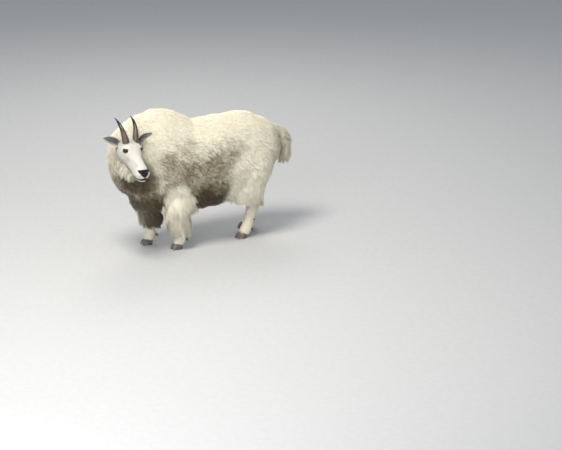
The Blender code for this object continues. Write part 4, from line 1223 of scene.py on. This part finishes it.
def paths(roots, normals, lie, length, rise, rest, droop, chance):
    """Control points of each tuft's curve, from under the skin to its tip."""
    start, size = roots - normals * ROOT_DEPTH, length[:, None]
    lie = unit(lie + np.cross(normals, lie) * chance.normal(0, 0.1, (len(roots), 1)))
    curve = [start]
    for angle, part in ((rise, 0.34), (rise * 0.45 + rest * 0.55, 0.36), (rest, 0.3)):
        angle = angle[:, None]
        curve.append(curve[-1] + (lie * np.cos(angle) + normals * np.sin(angle)) * size * part)
    sink = np.array((0, 0, -1)) * size * droop[:, None]
    curl = np.cross(normals, lie) * size * chance.normal(0, 0.05, (len(roots), 1))
    _, p1, p2, p3 = curve
    p2, p3 = p2 + sink * 0.08 + curl, p3 + sink * 0.3
    for spots in (p1, p2, p3):
        spots[:, 2] = np.maximum(spots[:, 2], LOWEST_TIP)
    return start, p1, p2, p3


def coat(skin, finishes):
    """All the tufts on the skin, split into pieces by where they grow."""
    chance = np.random.default_rng(SEED)
    places, normals = vertices_of(skin), vertices_of(skin, "normal")
    on_head, bare = np.empty((2, len(places)), np.float32)
    skin.data.attributes["on_head"].data.foreach_get("value", on_head)
    skin.data.attributes["bare"].data.foreach_get("value", bare)
    mix = regions(places, normals, on_head)
    point_values(skin, "tone", tones(places, normals, mix, on_head))
    density = (mix @ TABLE[:, 7]) * 1e4 * ramp(0.35, 0.1, bare)
    density *= ramp(0.036, 0.04, places[:, 2]) * COVER
    roots, out, corners, share = scattered(skin, density, chance)
    on_head = ((on_head[corners] * share).sum(axis=1) > 0.5).astype(float)
    mix = (mix[corners] * share[:, :, None]).sum(axis=1)
    length, width, rise, rest, _, gather, spacing, spread = (mix @ TABLE).T
    if not FINE:
        width = width * 1.6
    length = length * chance.uniform(0.82, 1.15, len(roots)) * (1 + 0.12 * waves(roots, 0.11, 5))
    length = np.where(on_head > 0.5, length * near_features(roots), np.minimum(length, above_hem(roots, mix)))
    rise = np.radians(rise + chance.normal(0, 5, len(roots)))
    rest = np.radians(rest + chance.normal(0, 4, len(roots)))
    lie = lie_of(roots, out, mix, on_head)
    droop = ramp(0.03, 0.12, length) * (1 - on_head)
    controls = paths(roots, out, lie, length, rise, rest, droop, chance)
    odds = 1 / np.maximum(1.5, spread * 1e4 * COVER * spacing**2)
    controls, leader = gathered(roots, controls, gather, odds, chance)
    tint = chance.uniform(0, 1, len(roots))[leader] * 0.6 + chance.uniform(0, 1, len(roots)) * 0.4
    uv, tone = unwrap(roots, on_head), tones(roots, out, mix, on_head)
    rings = np.select([length < 0.038, length < 0.06, length < 0.085], [2, 3, 4], 5)
    share = dict(zip(REGIONS, mix.T))
    legs = share["chaps"] + share["shank"] > 0.5
    areas = {"head": on_head > 0.5, "legs": (on_head < 0.5) & legs, "tail": share["tail"] > 0.5}
    areas["body"] = ~(areas["head"] | areas["legs"] | areas["tail"])
    for area, here in areas.items():
        slot = "face" if area == "head" else "coat"
        for count in (2, 3, 4, 5):
            picked = np.flatnonzero(here & (rings == count))
            picked = picked[np.argsort(roots[picked, 1], kind="stable")]
            most = PIECE_TRIANGLES // (6 * (count - 1) + 4)
            for k in range(0, len(picked), most):
                part = picked[k : k + most]
                if len(part) >= FEWEST_TUFTS:
                    name = f"coat_{area}_{count}_{k // most + 1}"
                    curves, looks = [c[part] for c in controls], (uv[part], tint[part], tone[part])
                    shape = (roots[part], out[part], curves, width[part], count)
                    tufts(name, *shape, *looks, finishes[slot], slot)


def mark_skin(skin, head, mouth):
    """Says which of the skin is on the head, and which of that is bare: lips and the rims of lids."""
    points = vertices_of(skin)
    faces = [tuple(p.vertices) for p in head.data.polygons]
    tree = BVHTree.FromPolygons([v.co for v in head.data.vertices], faces)
    local = to_head(points)
    near = lengths(local - (0, -0.1, -0.08)) < 0.3
    on_head = np.zeros(len(points))
    for k in np.flatnonzero(near):
        on_head[k] = tree.find_nearest(Vector(points[k]), 0.001)[0] is not None
    lips = np.min([lengths(local - spot) for spot in mouth], axis=0)
    front = ramp(-0.205, -0.265, local[:, 1])
    bare = ramp(0.0028 + 0.0084 * front, 0.0012 + 0.0076 * front, lips)
    for side in SIDES:
        close = lengths(local - eye_middle(side)) < EYE_RADIUS + 0.0055
        bare = np.maximum(bare, ramp(2.3, 1.9, eye_opening(local, side)) * close)
    point_values(skin, "on_head", on_head)
    point_values(skin, "bare", bare * on_head)


def ear_hair(side, finish):
    """Short hair on the back of an ear and a pale fringe along its rim."""
    chance = np.random.default_rng(SEED + 20 + side)
    count, fringe = (1500, 1100) if FINE else (500, 350)
    t = np.concatenate([chance.uniform(0.02, 1, count), chance.uniform(0.05, 1, fringe)])
    edge = np.where(chance.uniform(0, 1, fringe) < 0.5, -1, 1)
    edge = edge * (1 - 0.5 * chance.uniform(0, 1, fringe) ** 2.5)
    s = np.concatenate([chance.uniform(-1, 1, count), edge])
    back = np.arange(count + fringe) < count
    place, outward, _ = ear_surface(side, t, s, EAR_THICK * back)
    ahead, _, _ = ear_surface(side, np.minimum(t + 0.02, 1.02), s, EAR_THICK * back)
    lie = unit(ahead - place)
    normal = unit(outward - lie * dot(outward, lie)) * np.where(back, 1, -1)[:, None]
    roots, normal, lie = from_head(place), head_way(normal), head_way(lie)
    length = np.where(back, 0.01, 0.013) * chance.uniform(0.8, 1.2, len(t))
    rise = np.radians(chance.normal(22, 5, len(t)))
    controls = paths(roots, normal, lie, length, rise, rise * 0.3, np.zeros(len(t)), chance)
    uv = np.stack([0.83 + 0.05 * (s + 1) + 0.01 * (side < 0), 0.45 + 0.12 * t + 0.15 * (side > 0)], axis=1)
    looks = (uv, chance.uniform(0.3, 1, len(t)), np.zeros((len(t), 3)))
    name, width = "coat_ear_" + SIDES[side], np.full(len(t), 0.001)
    tufts(name, roots, normal, controls, width, 2, *looks, finish, "face", soft=False)


def beard_hair(finish):
    """A beard that hangs from the whole of the lower jaw, browner in the middle, the brown part hair colour
    and part painted shade under the chin, with a little painted grey shade all over.
    """
    chance = np.random.default_rng(SEED + 30)
    count = 2800 if FINE else 900

    def every(value):
        return np.full(count, value)

    aside, ahead = np.clip(chance.normal(0, 0.03, count), -0.06, 0.06), chance.uniform(0.02, 0.212, count)
    rows = np.array(HEAD)
    lowest = np.interp(ahead, rows[:, 0], rows[:, 2])
    roots = from_head(np.stack([aside, -ahead, lowest + 0.012 + 8.0 * aside**2], axis=1))
    down = unit(head_way(np.stack([aside * 11, every(0.35), every(-1.0)], axis=1)) * 0.6 + (0, 0, -0.5))
    normal = head_way(np.stack([np.sign(aside) + aside * 20, every(-0.4), every(0.0)], axis=1))
    normal = unit(normal - down * dot(normal, down))
    length = chance.uniform(0.055, 0.09, count) * (1 - 7.0 * np.maximum(np.abs(ahead - 0.14) - 0.03, 0))
    controls = paths(roots, normal, down, length, every(0.16), every(-0.1), every(0.4), chance)
    controls, leader = gathered(roots, controls, every(0.5), every(0.05), chance)
    # Brown in the middle under the chin, part hair colour and part painted shade; the grey of the tone is
    # painted shade.
    brown = 0.55 * ramp(0.03, 0.008, np.abs(aside)) * ramp(0.19, 0.15, ahead)
    tone = np.stack([0.35 + 0.5 * ramp(0.03, 0.0, np.abs(aside)), brown, every(0.16)], axis=1)
    uv, tint = np.stack([0.88 + aside, 0.72 + ahead], axis=1), chance.uniform(0, 1, count)[leader]
    made = tufts("coat_beard", roots, normal, controls, every(0.0019), 4, uv, tint, tone, finish, "coat")
    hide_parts("beard")


def build_goat():
    mouth = mouth_line()
    head, nose_tree = head_skin(mouth)
    skin = body_skin()
    skin.name = skin.data.name = "skin"
    form = placed("head_form", head.data.copy())
    skin = join(skin, head)
    mark_skin(skin, form, mouth)
    discard([form])
    skin.data.shade_smooth()
    finishes = {"coat": coat_material("coat_hair"), "face": coat_material("face_hair", face=True)}
    coat(skin, finishes)
    flesh = ["torso", "neck", "tail", "head", *FEET, *(name + "_shank" for name in FEET)]
    dressed(skin, skin_material(), "coat", *flesh)
    horn_finish, eye_finish = horn_material(), eye_material()
    hoof_finish, ear_finish = hoof_material(), ear_material()
    for side in SIDES:
        horn(side, horn_finish)
        eyeball(side, eye_finish)
        ear(side, ear_finish)
        ear_hair(side, finishes["face"])
    nose_pad(nose_tree, nose_material())
    beard_hair(finishes["coat"])
    for name, (side, y, _) in FEET.items():
        for maker, kind in ((claw, "claw"), (dewclaw, "dewclaw")):
            for place in ("inner", "outer"):
                toward = 1 if (place == "inner") == (side < 0) else -1
                maker(f"{name}_{kind}_{place}", side * STANCE, toward, y, hoof_finish)


# Floor, light and camera

FLOOR_HALF = 40.0


def pointed(made, at, way):
    """Puts a lamp or the camera at a place, looking this way."""
    made.location = at
    made.rotation_euler = way.to_track_quat("-Z", "Y").to_euler()


def studio():
    mesh = bpy.data.meshes.new("floor")
    corners = [(x * FLOOR_HALF, y * FLOOR_HALF, 0) for x, y in ((-1, -1), (1, -1), (1, 1), (-1, 1))]
    mesh.from_pydata(corners, [], [(0, 1, 2, 3)])
    mesh.materials.append(floor_material())
    floor = placed("floor", mesh)
    world = bpy.data.worlds.new("studio")
    bpy.context.scene.world = world
    world.use_nodes = True
    sky = world.node_tree.nodes["Background"].inputs
    sky["Color"].default_value = (0.8, 0.86, 0.95, 1)
    sky["Strength"].default_value = 0.5
    for name, at, width, power, colour in (
        ("key", (1.7, -2.6, 6.1), 2.6, 425, (1.0, 0.97, 0.91)),
        ("fill", (4.6, -4.4, 2.4), 4.0, 185, (0.94, 0.96, 1.0)),
        ("rim", (-4.0, 2.0, 4.5), 3.0, 110, (1.0, 0.98, 0.94)),
    ):
        light = bpy.data.lights.new(name, "AREA")
        light.shape, light.size, light.energy, light.color = "DISK", width, power, colour
        pointed(placed(name, light), at, Vector((0, 0, 0.5)) - Vector(at))


def camera():
    """Seen from the goat's left front, a little from above, through a long lens."""
    azimuth, elevation, distance = math.radians(60), math.radians(17), 19.0
    wide = 3.24 * 562 / 450  # metres across the frame at the goat
    aside, upward = 0.7186, 0.165  # from the near forefoot to the middle of the frame
    level = math.cos(elevation)
    back = Vector((math.sin(azimuth) * level, -math.cos(azimuth) * level, math.sin(elevation)))
    right = Vector((math.cos(azimuth), math.sin(azimuth), 0))
    near_foot = Vector((STANCE, 0, 0)) + STAND
    target = near_foot + right * aside + back.cross(right) * upward
    data = bpy.data.cameras.new("camera")
    data.sensor_width = 36
    data.lens = data.sensor_width * distance / wide
    made = placed("camera", data)
    pointed(made, target + back * distance, -back)
    bpy.context.scene.camera = made


build_goat()
studio()
camera()
bpy.context.scene.view_settings.view_transform = "Standard"
